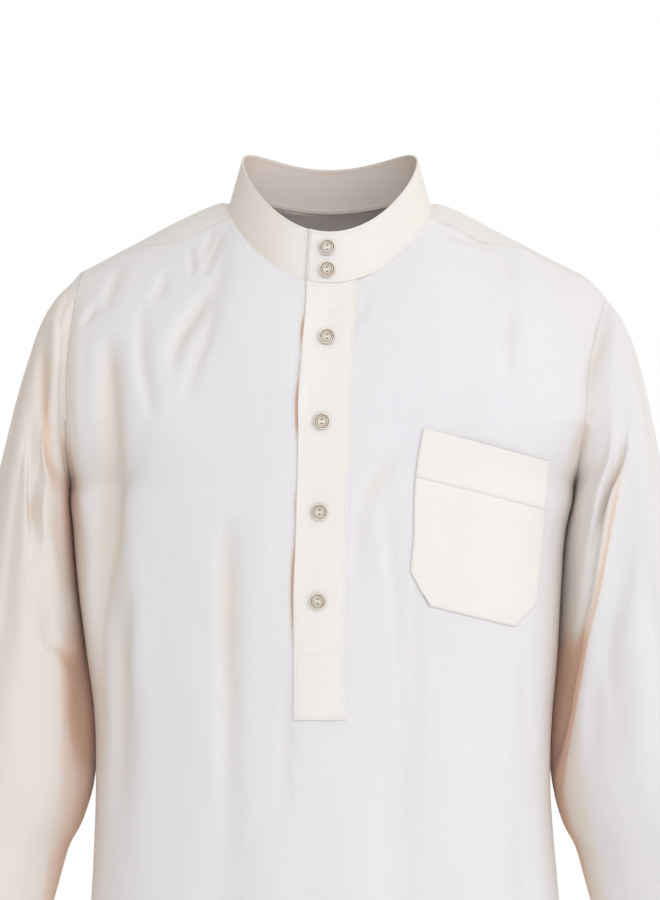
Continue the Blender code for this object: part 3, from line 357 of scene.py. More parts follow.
SLEEVE_SIDE_CREASES = [Crease(*row) for row in (
    (((-0.020, -0.120), (-0.034, -0.170), (-0.040, -0.230)), 0.0065, -0.0026, 0.4),
    (((0.022, -0.130), (0.034, -0.190), (0.040, -0.260)), 0.0065, -0.0026, -0.4),
    (((0.010, -0.220), (-0.008, -0.280), (-0.016, -0.350)), 0.0070, -0.0024, 0.4),
    (((-0.066, -0.330), (-0.030, -0.352), (0.006, -0.344)), 0.0060, -0.0032, 0.5),
    (((-0.070, -0.372), (-0.040, -0.392), (-0.008, -0.388)), 0.0055, -0.0028, 0.5),
    (((0.020, -0.380), (-0.006, -0.420), (-0.036, -0.440)), 0.0060, -0.0024, -0.4),
    (((-0.060, -0.450), (-0.056, -0.520), (-0.064, -0.590)), 0.0070, -0.0022, 0.3),
    (((-0.020, -0.470), (-0.028, -0.540), (-0.030, -0.610)), 0.0070, -0.0022, 0.3),
)]
LINE_STEPS = 8
CREASE_TAPER = 0.7
LEAN_FALL = 0.6

# How far cloth has to face the front or back, or the side, for their creases to start and to be full
FACING = (-0.05, 0.45)
SIDE_FACING = (0.55, 0.95)
SLEEVE_SIDE_X = (0.235, 0.255)

# A faint unevenness of hanging cloth: heights in millimetres, and how fast each wave turns
Wave = namedtuple("Wave", "height across down start wobble")
WAVES = [Wave(*row) for row in (
    (0.35, 61.0, 9.0, 0.0, 1.3),
    (0.25, 103.0, -17.0, 2.1, 0.0),
    (0.25, 37.0, 31.0, 0.7, 0.0),
)]
WOBBLE_DOWN = 14.0

# Lines of painted shade on the sleeves seen from the front; the two faint ones paint the cream tone of lit
# strips.
# Each has how far it reaches on either side, to the right of its direction and to the left, and how much.
ShadeLine = namedtuple("ShadeLine", "points right_width left_width warmth")
SHADE_LINES = [ShadeLine(*row) for row in (
    (((0.2600, -0.206), (0.2434, -0.298), (0.2346, -0.346), (0.2259, -0.386), (0.2110, -0.475),
      (0.2040, -0.530)), 0.0052, 0.0009, 1.55),
    (((0.2364, -0.100), (0.2276, -0.171), (0.2215, -0.220)), 0.0050, 0.0070, 0.42),
    (((-0.2460, -0.120), (-0.2480, -0.190), (-0.2440, -0.260)), 0.0050, 0.0050, 0.42),
    (((-0.2320, -0.225), (-0.2290, -0.300), (-0.2200, -0.370), (-0.2130, -0.420)), 0.0042, 0.0030, 0.95),
)]
SHADE_LINE_FADE = 0.125

# Colours are linear
CLOTH = (0.865, 0.850, 0.855)
CLOTH_ROUGHNESS = 0.58
TRIM_ROUGHNESS = 0.54
THREAD_ROUGHNESS = 0.5
PEARL_ROUGHNESS = 0.22
HOLE_ROUGHNESS = 0.7
FLOOR_ROUGHNESS = 0.9
# Painted shade of the cloth: a warmer, darker colour, and the brown of the deepest shade
CLOTH_SHADE = (0.840, 0.765, 0.680)
CLOTH_DEEP_SHADE = (0.780, 0.520, 0.380)
TRIM = (0.930, 0.895, 0.845)
THREAD = (0.900, 0.860, 0.800)
PEARL = (0.800, 0.700, 0.560)
PEARL_LIGHT = (0.930, 0.880, 0.790)
# Painted shade in the buttons' grooves
PEARL_GROOVE_SHADE = (0.210, 0.130, 0.070)
# Painted shade in the buttons' holes
HOLE_SHADE = (0.060, 0.036, 0.020)
FLOOR = (0.90, 0.90, 0.90)
WHITE = (1.0, 1.0, 1.0)

# The room's light from the wearer's right, from the left and from above. It is white behind the robe.
ROOM_RIGHT = (0.22, 0.198, 0.176)
ROOM_LEFT = (0.98, 0.937, 0.888)
ROOM_ABOVE = (1.08, 1.021, 0.952)
ROOM_ABOVE_SHARE = 0.5
BEHIND_START = 0.72
BEHIND_GAIN = 6.0

Lamp = namedtuple("Lamp", "place size power colour")
LAMPS = {
    "key": Lamp((2.4, -2.3, 1.2), 1.2, 15.5, (0.72, 0.82, 1.0)),
    "front": Lamp((0.1, -3.2, 0.8), 1.6, 27.0, (0.66, 0.78, 1.0)),
}
LAMP_TARGET = (0.0, 0.0, -0.3)
FLOOR_HALF = 3.5
CAMERA_PLACE = (0.0, -3.0, -0.215)
CAMERA_LENS = 134.3
CAMERA_SENSOR = 36.0

# The cloth's weave, slubs, clouds of tone and ripples, as scales across, down and through it
THREADS_PER_METRE = 2600.0
SLUBS_DOWN = (1500.0, 26.0, 1.0)
SLUBS_ACROSS = (26.0, 1500.0, 1.0)
CLOUDS = (9.0, 5.0, 1.0)
RIPPLES = (34.0, 15.0, 1.0)
SLUB_TONE = 0.10
CLOUD_TONE = 0.30
TONE_COLOUR = (0.965, 0.950, 0.930)
SLUB_ROUGHNESS = 0.08
WEAVE_HEIGHT = 0.04 * MM
SLUB_HEIGHT = 0.05 * MM
RIPPLE_HEIGHT = 2.2 * MM

# Streaks and clouds of tone in the thread, the pearl and the painted shade of the holes
THREAD_SCALE = (2500.0, 2500.0, 2500.0)
THREAD_STREAK = 0.9
PEARL_SCALE = (220.0, 220.0, 420.0)
PEARL_CLOUDS = (0.38, 0.64)
HOLE_SCALE = (1800.0, 1800.0, 1800.0)
HOLE_LIGHT = 2.0

# Painted shade in the troughs of folds: how it grows with a trough's depth, warming and darkening the colour
TROUGH_SHADE_DEPTH = 3.5 * MM
TROUGH_SHADE_MOST = 1.6
TROUGH_SHADE_POWER = 1.3
TROUGH_SHADE_SHARE = 0.50
# Painted shade on the inner faces of the cloth
INSIDE_SHADE = 1.15

# Painted shade where cloth faces other cloth closely, in place of the shade that falls there, and how far it
# looks
HIDDEN_REACH = 0.070
HIDDEN_RAYS = 14
HIDDEN_SPREAD = 0.95
HIDDEN_OFF = 0.8 * MM
HIDDEN_STEP = 2
HIDDEN_PASSES = 2
HIDDEN_SHADE = (0.18, 0.52)
HIDDEN_DEEP_SHADE = (0.50, 0.92)
HIDDEN_SHADE_TINT = {"front": 0.40, "back": 0.40, "sleeve_right": 0.85, "sleeve_left": 1.0}
HIGH_TINT = 0.42
TINT_HEIGHTS = (-0.352, -0.405)

# Painted shade on the flanks and collar ends, most on the wearer's right; the back's top also warmer
Flank = namedtuple("Flank", "side start_x warmth")
FLANKS = (Flank(-1.0, 0.200, 0.78), Flank(1.0, 0.180, 0.16))
FLANK_REACH = 0.045
YOKE_WARMTH = 0.38
YOKE_HEIGHTS = (-0.240, -0.050)
COLLAR_SHADE = {-1.0: 0.85, 1.0: 0.20}
COLLAR_SHADE_X = (0.020, 0.060)

# The shade beside the placket's free edge where it stands off the front
GAP_SHADE = 4.5
GAP_SHADE_OUT = 1.2 * MM
GAP_SHADE_WIDTH = 1.3 * MM

# Which side of the body each sleeve is on, along x
SLEEVES = {"sleeve_right": -1.0, "sleeve_left": 1.0}

# How the sleeves' inner sides go forwards and in, until they almost touch the body. Heights are of the
# lowest point of each ring of a sleeve, but for SIDE_FADE.
SIDE_CLEAR = 1.2 * MM
SIDE_PUSH = 12.0 * MM
SIDE_REACH = 40.0 * MM
SIDE_HEIGHTS = (-0.625, -0.475, -0.257, -0.250)
SIDE_FADE = (-0.212, -0.258)
SIDE_INWARDS = (0.05, 0.50)
SIDE_FIRM = 0.4
SIDE_PASSES = 4
FORWARD = 13.0 * MM
FORWARD_HEIGHTS = (-0.262, -0.322)
FORWARD_INWARDS = (0.05, 0.55)
FORWARD_BACKWARDS = (0.75, 0.05)

# Sewing
StitchRing = namedtuple("StitchRing", "share radius lift")
STITCH_PROFILE = [StitchRing(*row) for row in (
    (-0.5, 0.0, -0.2), (-0.42, 0.75, 0.0), (-0.15, 1.0, 0.25), (0.15, 1.0, 0.25), (0.42, 0.75, 0.0),
    (0.5, 0.0, -0.2),
)]
STITCH_LENGTH = 2.3 * MM
STITCH_PITCH = 2.9 * MM
STITCH_RADIUS = 0.26 * MM
STITCH_SIDES = 5
STITCH_LIFT = 0.05 * MM
GROOVE_DEPTH = 0.28 * MM
GROOVE_WIDTH = 0.8 * MM
EDGE_STITCH = 2.6 * MM
NARROW_STITCH = 1.7 * MM
ARMHOLE_STITCH = 6.0 * MM
HEM_STITCH = 20.0 * MM
STRIP_ENDS = 3
POCKET_ENDS = 2

# The record for a piece's flat cut: how wide and long it is, its area and how it is held. No piece's cut is
# listed.
Cut = namedtuple("Cut", "width length area held rests_on")

# Steps of the fine grids
SEAM_STEPS = 48
NECK_SIDE_STEPS = 26
NECK_LAST_STEPS = (0.5, 0.22)
NECK_BACK_STEPS = 36
PLACKET_STEPS = 12
UPPER_STEPS = 60
RIDGE_SAMPLES = 24
BLADE_SAMPLES = 120
FINE_ROW = 0.0040
COARSE_ROW = 0.0130
SLEEVE_RING_STEPS = 13
CORNER_PASSES = 30
CORNER_COLS = 7
CORNER_ROWS = 56


def ease(t):
    """A smooth step from 0 to 1."""
    t = np.clip(t, 0.0, 1.0)
    return t * t * (3.0 - 2.0 * t)


def ramp(value, start, stop):
    """A smooth step from 0 where a value is at start to 1 where it is at stop."""
    return ease((value - start) / (stop - start))


def unit(vectors):
    return vectors / np.maximum(np.linalg.norm(vectors, axis=-1, keepdims=True), 1e-12)


def hermite(t, start, end, start_slope, end_slope):
    """A smooth curve between two values, with its slopes there for one whole step of t."""
    return (
        (1 + 2 * t) * (1 - t) ** 2 * start
        + t * (1 - t) ** 2 * start_slope
        + t * t * (3 - 2 * t) * end
        + t * t * (t - 1) * end_slope
    )


def soften(values, axis, closed=False):
    """Mixes each value with its neighbours along an axis, in place. The ends stay, or meet if closed."""
    along = np.moveaxis(values, axis, 0)
    mixed = (np.roll(along, 1, 0) + 2.0 * along + np.roll(along, -1, 0)) / 4.0
    inner = slice(None) if closed else slice(1, -1)
    along[inner] = mixed[inner]


def run_along(line):
    """The length along a line to each of its points."""
    return np.concatenate(([0.0], np.cumsum(np.linalg.norm(np.diff(line, axis=0), axis=1))))


def turned_from(angle, middle):
    """How far angles in degrees are from another one, between -180 and 180."""
    return (angle - middle + 180.0) % 360.0 - 180.0


def levels(high, low, step):
    """Heights from just below a high one down to a low one, about a step apart."""
    return np.linspace(high, low, 1 + round((high - low) / step))[1:]


def body_at(name, z):
    """One column of the body's table at any height, on a smooth curve through its rows."""
    heights = np.array([row.z for row in BODY])[::-1]
    values = np.array([getattr(row, name) for row in BODY])[::-1]
    slopes = np.gradient(values, heights)
    z = min(max(z, heights[0]), heights[-1])
    i = min(max(int(np.searchsorted(heights, z)) - 1, 0), len(heights) - 2)
    width = heights[i + 1] - heights[i]
    t = (z - heights[i]) / width
    return float(hermite(t, values[i], values[i + 1], width * slopes[i], width * slopes[i + 1]))


def body_row(z):
    """All the columns of the body's table at a height."""
    return BodyRow(z, *(body_at(name, z) for name in BodyRow._fields[1:]))


def neck_point(angle):
    """A point of the collar seam. The angle is 0 at the front and pi at the back."""
    c = math.cos(angle)
    return np.array((
        NECK_HALF_WIDTH * math.sin(angle),
        NECK_CENTRE_Y - NECK_HALF_DEPTH * c,
        NECK_SIDE_Z - NECK_TILT * c - NECK_SCOOP * c * c,
    ))


NECK_CORNER_ANGLE = math.acos((NECK_CENTRE_Y - NECK_CORNER_Y) / NECK_HALF_DEPTH)


def ridge_z(x):
    """Height of the shoulder ridge, a straight slope that falls away past the shoulder's tip."""
    past_tip = max(abs(x) - RIDGE_DROP_X, 0.0)
    return RIDGE_NECK_Z - RIDGE_SLOPE * (abs(x) - RIDGE_NECK_X) - RIDGE_DROP * past_tip**2


def seam_point(x):
    """A point of the forward shoulder seam."""
    taper = float(ramp(abs(x), *SEAM_TAPER))
    forward = SEAM_FORWARD_AT_NECK + (SEAM_FORWARD_AT_TIP - SEAM_FORWARD_AT_NECK) * taper
    return np.array((x, RIDGE_Y - forward, ridge_z(x) - RIDGE_CURVE * forward**2))


def seam_run(side):
    """Points of one shoulder seam from the armhole to the neck. Side is -1 for the wearer's right."""
    tip = RIGHT_TIP_X if side < 0 else LEFT_TIP_X
    corner = neck_point(side * NECK_CORNER_ANGLE)
    points = [seam_point(tip + (corner[0] - tip) * i / SEAM_STEPS) for i in range(SEAM_STEPS)]
    lift = corner[2] - seam_point(corner[0])[2]
    shift = corner[1] - seam_point(corner[0])[1]
    for i, point in enumerate(points):
        share = float(ease(i / SEAM_STEPS))
        point[1] += shift * share
        point[2] += lift * share
    return points


def fold_depth(angle, z):
    """How far the folds move the body's outer face outwards at angles in degrees and heights."""
    angle, z = np.asarray(angle, float), np.asarray(z, float)
    total = np.zeros(np.broadcast(angle, z).shape)
    for fold in FOLDS:
        along = np.clip((fold.top_z - z) / (fold.top_z - fold.low_z), 0.0, 1.0)
        middle = fold.top_angle + (fold.low_angle - fold.top_angle) * along
        off = turned_from(angle, middle)
        if fold.low_z < HEM_Z:
            grown = ease(along / FOLD_GROWTH)
        else:
            grown = np.sin(math.pi * along) ** FOLD_SWELL
        total = total + fold.depth * grown * np.exp(-((off / fold.half_width) ** 2))
    return total


Column = namedtuple("Column", "top side share offset")


def flank_columns(side):
    """Columns between the neck's corner and the placket's edge, from the corner."""
    edge = math.asin((PLACKET_TOP_X + side * PLACKET_HALF_WIDTH) / NECK_HALF_WIDTH)
    corner = side * NECK_CORNER_ANGLE
    columns = []
    for i in (*range(NECK_SIDE_STEPS), *(NECK_SIDE_STEPS - before for before in NECK_LAST_STEPS)):
        t = i / NECK_SIDE_STEPS
        top = neck_point(corner + (edge - corner) * t)
        columns.append(Column(top, side, NECK_SHARE_FRONT * (1.0 - t), None))
    return columns


def seam_columns(side, neck_share):
    """Columns that start on a shoulder seam, from the armhole."""
    return [
        Column(point, side, 1.0 - (1.0 - neck_share) * i / SEAM_STEPS, None)
        for i, point in enumerate(seam_run(side))
    ]


def placket_columns(offsets):
    """Columns under the placket, at these distances from its middle line."""
    return [
        Column(neck_point(math.asin((PLACKET_TOP_X + o) / NECK_HALF_WIDTH)), -1 if o < 0 else 1, 0.0, o)
        for o in offsets
    ]


def front_columns():
    """The front's columns from the wearer's right armhole to the left one."""
    half = PLACKET_HALF_WIDTH
    right = list(np.linspace(-half, -SLIT_HALF_WIDTH, PLACKET_STEPS // 2))
    offsets = right + [-o for o in right[::-1]]
    return (
        seam_columns(-1, NECK_SHARE_FRONT)
        + flank_columns(-1)
        + placket_columns(offsets)
        + flank_columns(1)[::-1]
        + seam_columns(1, NECK_SHARE_FRONT)[::-1]
    )


def back_columns():
    """The back's columns from the wearer's right armhole, over the neck, to the left one."""
    columns = seam_columns(-1, NECK_SHARE_BACK)
    for i in range(2 * NECK_BACK_STEPS + 1):
        t = i / (2 * NECK_BACK_STEPS)
        angle = -NECK_CORNER_ANGLE - t * 2.0 * (math.pi - NECK_CORNER_ANGLE)
        share = NECK_SHARE_BACK * abs(1.0 - 2.0 * t)
        columns.append(Column(neck_point(angle), -1 if t < 0.5 else 1, share, None))
    return columns + seam_columns(1, NECK_SHARE_BACK)[::-1]


def section_point(column, row, is_front):
    """A point of the plain body, without folds, at or below chest height, and its angle in degrees."""
    turn = math.radians(row.turn)
    reach = (row.left_x if column.side > 0 else row.right_x) - row.centre_x
    if column.offset is not None:
        angle = math.asin(abs(column.offset) * math.sin(turn) / abs(reach))
    else:
        start = math.asin(PLACKET_HALF_WIDTH * math.sin(turn) / abs(reach)) if is_front else 0.0
        angle = start + column.share * (turn - start)
    x = row.centre_x + reach * math.sin(angle) / math.sin(turn)
    full = max((math.cos(angle) - math.cos(turn)) / (1.0 - math.cos(turn)), 0.0)
    full = full ** (FRONT_FLATNESS if is_front else BACK_FLATNESS)
    side_y = row.front_side_y if is_front else row.back_side_y
    middle_y = row.front_y if is_front else row.back_y
    round_half = column.side * math.degrees(angle) * 90.0 / math.degrees(turn)
    return np.array((x, side_y + (middle_y - side_y) * full, row.z)), round_half


def front_upper(column, foot, steps):
    """Points of a front column from its top to chest height, on a Bezier curve that leans forward."""
    top = column.top
    centred = 1.0 - min(abs(top[0]) / abs(neck_point(NECK_CORNER_ANGLE)[0]), 1.0)
    outer = float(ramp(abs(top[0]), *SEAM_TAPER))
    lean = math.radians(UPPER_LEAN + UPPER_LEAN_MIDDLE * centred - UPPER_LEAN_TIP * outer)
    length = math.hypot(foot[1] - top[1], foot[2] - top[2])
    high, low = UPPER_HANDLES[0] * length, UPPER_HANDLES[1] * length
    y = (top[1], top[1] - high * math.cos(lean), foot[1], foot[1])
    z = (top[2], top[2] - high * math.sin(lean), foot[2] + low, foot[2])
    t = np.linspace(0.0, 1.0, steps + 1)
    weights = ((1 - t) ** 3, 3 * t * (1 - t) ** 2, 3 * t * t * (1 - t), t**3)
    drift = ease(t) * (1.0 - column.share) + np.sin(math.pi * t / 2.0) * column.share
    return np.stack((
        top[0] + (foot[0] - top[0]) * drift,
        sum(w * v for w, v in zip(weights, y)),
        sum(w * v for w, v in zip(weights, z)),
    ), axis=1)


def back_upper(column, foot, steps):
    """Points of a back column: over the shoulder ridge where it starts in front of it, then down the back
    along a quarter of a superellipse to chest height."""
    top = column.top
    reach = foot[1] - RIDGE_Y
    power = BLADE_FULLNESS
    if top[1] < RIDGE_Y:
        peak = top[2] + RIDGE_CURVE * (RIDGE_Y - top[1]) ** 2
        ys = np.linspace(top[1], RIDGE_Y, RIDGE_SAMPLES)
        dense = [(y, peak - RIDGE_CURVE * (RIDGE_Y - y) ** 2) for y in ys]
        start = 0.0
    else:
        fall = 1.0 - (1.0 - ((top[1] - RIDGE_Y) / reach) ** power) ** (1.0 / power)
        peak = (top[2] - CHEST_Z * fall) / (1.0 - fall)
        dense = []
        start = ((top[1] - RIDGE_Y) / reach) ** (power / 2.0)
    for s in np.linspace(math.asin(start), math.pi / 2.0, BLADE_SAMPLES)[(1 if dense else 0):]:
        y = RIDGE_Y + reach * math.sin(s) ** (2.0 / power)
        z = CHEST_Z + (peak - CHEST_Z) * max(math.cos(s), 0.0) ** (2.0 / power)
        dense.append((y, z))
    dense = np.array(dense)
    dense[0] = top[1:]
    run = run_along(dense)
    t = np.linspace(0.0, 1.0, steps + 1)
    return np.stack((
        top[0] + (foot[0] - top[0]) * np.sin(math.pi * t / 2.0),
        np.interp(t * run[-1], run, dense[:, 0]),
        np.interp(t * run[-1], run, dense[:, 1]),
    ), axis=1)


# Heights of the rows below the chest: fine ones in the photo's view, coarser ones below it
LOWER = np.concatenate((
    levels(CHEST_Z, ARMPIT_Z, FINE_ROW), levels(ARMPIT_Z, FINE_END_Z, FINE_ROW),
    levels(FINE_END_Z, HEM_Z, COARSE_ROW),
))
ARMPIT_ROW = UPPER_STEPS + 1 + int(np.argmin(abs(LOWER - ARMPIT_Z)))
CHEST_ROW = body_row(CHEST_Z)
LOWER_ROWS = [body_row(z) for z in LOWER]


def body_grid(columns, is_front, lower_rows):
    """The outer face of the front or back, one row for each height and one column for each column."""
    grid = []
    for column in columns:
        foot, round_half = section_point(column, CHEST_ROW, is_front)
        upper = (front_upper if is_front else back_upper)(column, foot, UPPER_STEPS)
        lower = [section_point(column, row, is_front) for row in lower_rows]
        points = np.concatenate((upper, [point for point, _ in lower]))
        halves = np.concatenate((np.full(UPPER_STEPS + 1, round_half), [half for _, half in lower]))
        angles = halves if is_front else 180.0 - halves
        strength = np.ones(len(points))
        strength[: UPPER_STEPS + 1] = ease(np.linspace(0.0, 1.0, UPPER_STEPS + 1) / FOLD_START)
        turn = np.radians(angles)
        outwards = np.stack((np.sin(turn), -np.cos(turn), np.zeros(len(turn))), axis=1)
        grid.append(points + outwards * (fold_depth(angles, points[:, 2]) * strength)[:, None])
    return np.array(grid).transpose(1, 0, 2)


def sleeve_fold_depth(place, angle):
    """How far the folds move a sleeve's outer face outwards."""
    total = np.zeros(len(angle))
    for fold in SLEEVE_FOLDS:
        along = (place - fold.top_place) / (fold.low_place - fold.top_place)
        if along <= 0.0 or along >= 1.0:
            continue
        middle = fold.top_angle + (fold.low_angle - fold.top_angle) * along
        off = turned_from(angle, middle)
        total += fold.depth * math.sin(math.pi * along) * np.exp(-((off / fold.half_width) ** 2))
    return total


def smooth_between(rows, steps):
    """Rows of points with more of them between, on smooth curves through the given ones."""
    rows = np.asarray(rows, float)
    before = np.concatenate((2 * rows[:1] - rows[1:2], rows[:-1]))
    after = np.concatenate((rows[1:], 2 * rows[-1:] - rows[-2:-1]))
    slopes = (after - before) / 2.0
    made = [
        hermite(step / steps, rows[i], rows[i + 1], slopes[i], slopes[i + 1])
        for i in range(len(rows) - 1)
        for step in range(steps)
    ]
    return np.array([*made, rows[-1]])


def sleeve_grid(armhole, rows):
    """The outer face of a sleeve, from the armhole to the cuff."""
    run = np.linalg.norm(np.diff(armhole, axis=0, append=armhole[:1]), axis=1)
    low = int(np.argmin(armhole[:, 2]))
    front = np.concatenate(([0.0], np.cumsum(run[:low])))
    back = np.concatenate(([0.0], np.cumsum(run[low:])))
    angles = np.concatenate((math.pi * front / front[-1], math.pi + math.pi * (back / back[-1])[1:-1]))
    rings = [armhole]
    for i, row in enumerate(rows):
        outer = np.array((row.outer_x, row.outer_y, row.outer_z))
        inner = np.array((row.inner_x, row.inner_y, row.inner_z))
        spokes = np.outer(np.cos(angles), (outer - inner) / 2.0)
        spokes += np.outer(np.sin(angles), (0.0, -row.half_depth, 0.0))
        folds = sleeve_fold_depth((i + 1) / len(rows), np.degrees(angles))
        rings.append((outer + inner) / 2.0 + spokes + unit(spokes) * folds[:, None])
    grid = smooth_between(rings, SLEEVE_RING_STEPS)
    between = (grid + np.roll(grid, -1, 1)) / 2.0
    return np.stack((grid, between), axis=2).reshape(len(grid), -1, 3)


Panel = namedtuple("Panel", "grid normals closed")
BODY_MIDDLE = np.array((0.0, 0.0, 0.5 * HEM_Z))


def grid_normals(grid, closed):
    """Smooth normals of a grid, facing away from the body's middle, or from its own if it is closed."""
    down = np.gradient(grid, axis=0)
    across = np.roll(grid, -1, 1) - np.roll(grid, 1, 1) if closed else np.gradient(grid, axis=1)
    middle = grid.mean(axis=1, keepdims=True) if closed else BODY_MIDDLE
    normals = unit(np.cross(across, down))
    return -normals if (normals * (grid - middle)).sum() < 0.0 else normals


def panel_of(grid, closed):
    return Panel(grid, grid_normals(grid, closed), closed)


def share_seams(panels):
    """Makes the normals of points that lie on two pieces' edges the same."""
    found = {}
    for name, (grid, _, closed) in panels.items():
        edge = np.zeros(grid.shape[:2], bool)
        edge[0] = edge[-1] = True
        if not closed:
            edge[:, 0] = edge[:, -1] = True
        for i, j in zip(*np.nonzero(edge)):
            found.setdefault(tuple(np.round(grid[i, j], 6) + 0.0), []).append((name, i, j))
    for places in found.values():
        if len(places) > 1:
            total = unit(sum(panels[name].normals[i, j] for name, i, j in places))
            for name, i, j in places:
                panels[name].normals[i, j] = total


def keep_seam(points):
    """Puts the points that a sleeve has between the armhole's own ones halfway between them."""
    points[0, 1::2] = (points[0, 0::2] + np.roll(points[0, 0::2], -1, 0)) / 2.0


def line_distances(points, x, z):
    """The distance of each x and z from a curve, negative on its left, and its place along it from 0 to 1."""
    line = smooth_between(points, LINE_STEPS)
    best = np.full(x.shape, np.inf)
    signed = np.zeros(x.shape)
    place = np.zeros(x.shape)
    for i in range(len(line) - 1):
        (x0, z0), (x1, z1) = line[i], line[i + 1]
        dx, dz = x1 - x0, z1 - z0
        t = np.clip(((x - x0) * dx + (z - z0) * dz) / (dx * dx + dz * dz), 0.0, 1.0)
        px, pz = x - (x0 + dx * t), z - (z0 + dz * t)
        distance = np.hypot(px, pz)
        closer = distance < best
        best = np.where(closer, distance, best)
        signed = np.where(closer, np.sign(px * dz - pz * dx) * distance, signed)
        place = np.where(closer, (i + t) / (len(line) - 1), place)
    return signed, place


def crease_relief(creases, x, z):
    """How far a table of creases moves points at x and z, along the cloth's normal."""
    total = np.zeros(x.shape)
    for crease in creases:
        signed, place = line_distances(crease.points, x, z)
        taper = np.sin(math.pi * np.clip(place, 0.0, 1.0)) ** CREASE_TAPER
        off = signed / crease.half_width
        leaning = crease.lean * off * np.exp(-LEAN_FALL * off**2)
        total += crease.depth * taper * (np.exp(-(off**2)) - leaning)
    return total


def waves(x, z):
    """How far the cloth's faint unevenness moves points at x and z."""
    return sum(
        wave.height * MM * np.sin(
            wave.across * x + wave.down * z + wave.start + wave.wobble * np.sin(WOBBLE_DOWN * z)
        )
        for wave in WAVES
    )


def relief(grid, normals):
    """The small creases at every point of a grid."""
    x, y, z = grid[..., 0], grid[..., 1], grid[..., 2]
    backwards = normals[..., 1]
    outwards = normals[..., 0] * np.sign(x)
    to_side = ramp(outwards, *SIDE_FACING) * ramp(abs(x), *SLEEVE_SIDE_X)
    return (
        ramp(-backwards, *FACING) * crease_relief(FRONT_CREASES, x, z)
        + ramp(backwards, *FACING) * crease_relief(BACK_CREASES, x, z)
        + to_side * crease_relief(SLEEVE_SIDE_CREASES, y, z)
        + waves(x, z)
    )


def inwards_from(edge, next_line, closed):
    """For each point of a grid's edge, the direction into the piece, square to the edge."""
    if closed:
        tangents = unit(np.roll(edge, -1, 0) - np.roll(edge, 1, 0))
    else:
        tangents = unit(np.gradient(edge, axis=0))
    steps = next_line - edge
    return unit(steps - tangents * (steps * tangents).sum(axis=1, keepdims=True))


def arc_lengths(grid, closed):
    """Lengths in metres along the cloth, across and down, for its weave. They have one column more on a
    closed piece."""
    wrapped = np.concatenate((grid, grid[:, :1]), axis=1) if closed else grid
    across = np.linalg.norm(np.diff(wrapped, axis=1), axis=2)
    down = np.linalg.norm(np.diff(wrapped, axis=0), axis=2)
    middle = wrapped.shape[1] // 2
    u = np.concatenate((np.zeros((len(grid), 1)), np.cumsum(across, axis=1)), axis=1)
    u -= u[:, middle:middle + 1]
    v = np.concatenate((np.zeros((1, wrapped.shape[1])), np.cumsum(down, axis=0)))
    return u, v


def add_object(name, data):
    """A new object in the scene."""
    obj = bpy.data.objects.new(name, data)
    bpy.context.scene.collection.objects.link(obj)
    return obj


def add_piece(name, points, faces, material, uv=None, values=None):
    """A mesh object from points and faces. uv holds a pair for each face corner, and values a number for
    each point."""
    mesh = bpy.data.meshes.new(name)
    sizes = np.array([len(face) for face in faces])
    flat = np.concatenate(faces)
    starts = np.concatenate(([0], np.cumsum(sizes)[:-1]))
    mesh.vertices.add(len(points))
    mesh.vertices.foreach_set("co", np.asarray(points, np.float32).reshape(-1))
    mesh.loops.add(len(flat))
    mesh.loops.foreach_set("vertex_index", flat.astype(np.int32))
    mesh.polygons.add(len(sizes))
    mesh.polygons.foreach_set("loop_start", starts.astype(np.int32))
    mesh.polygons.foreach_set("loop_total", sizes.astype(np.int32))
    if uv is not None:
        layer = mesh.uv_layers.new(name="cloth")
        layer.data.foreach_set("uv", np.asarray(uv, np.float32).reshape(-1))
    # The fold attribute carries painted shade
    if values is not None:
        attribute = mesh.attributes.new("fold", "FLOAT", "POINT")
        attribute.data.foreach_set("value", np.asarray(values, np.float32))
    mesh.update()
    mesh.validate()
    mesh.shade_smooth()
    mesh.materials.append(material)
    return add_object(name, mesh)


def cell_corners(grid, closed):
    """The four points of each cell of a grid, as their places in it."""
    rows, cols = grid.shape[:2]
    i, j = np.mgrid[0:rows - 1, 0:cols if closed else cols - 1]
    k = (j + 1) % cols
    return np.stack((i * cols + j, i * cols + k, (i + 1) * cols + k, (i + 1) * cols + j), axis=-1)


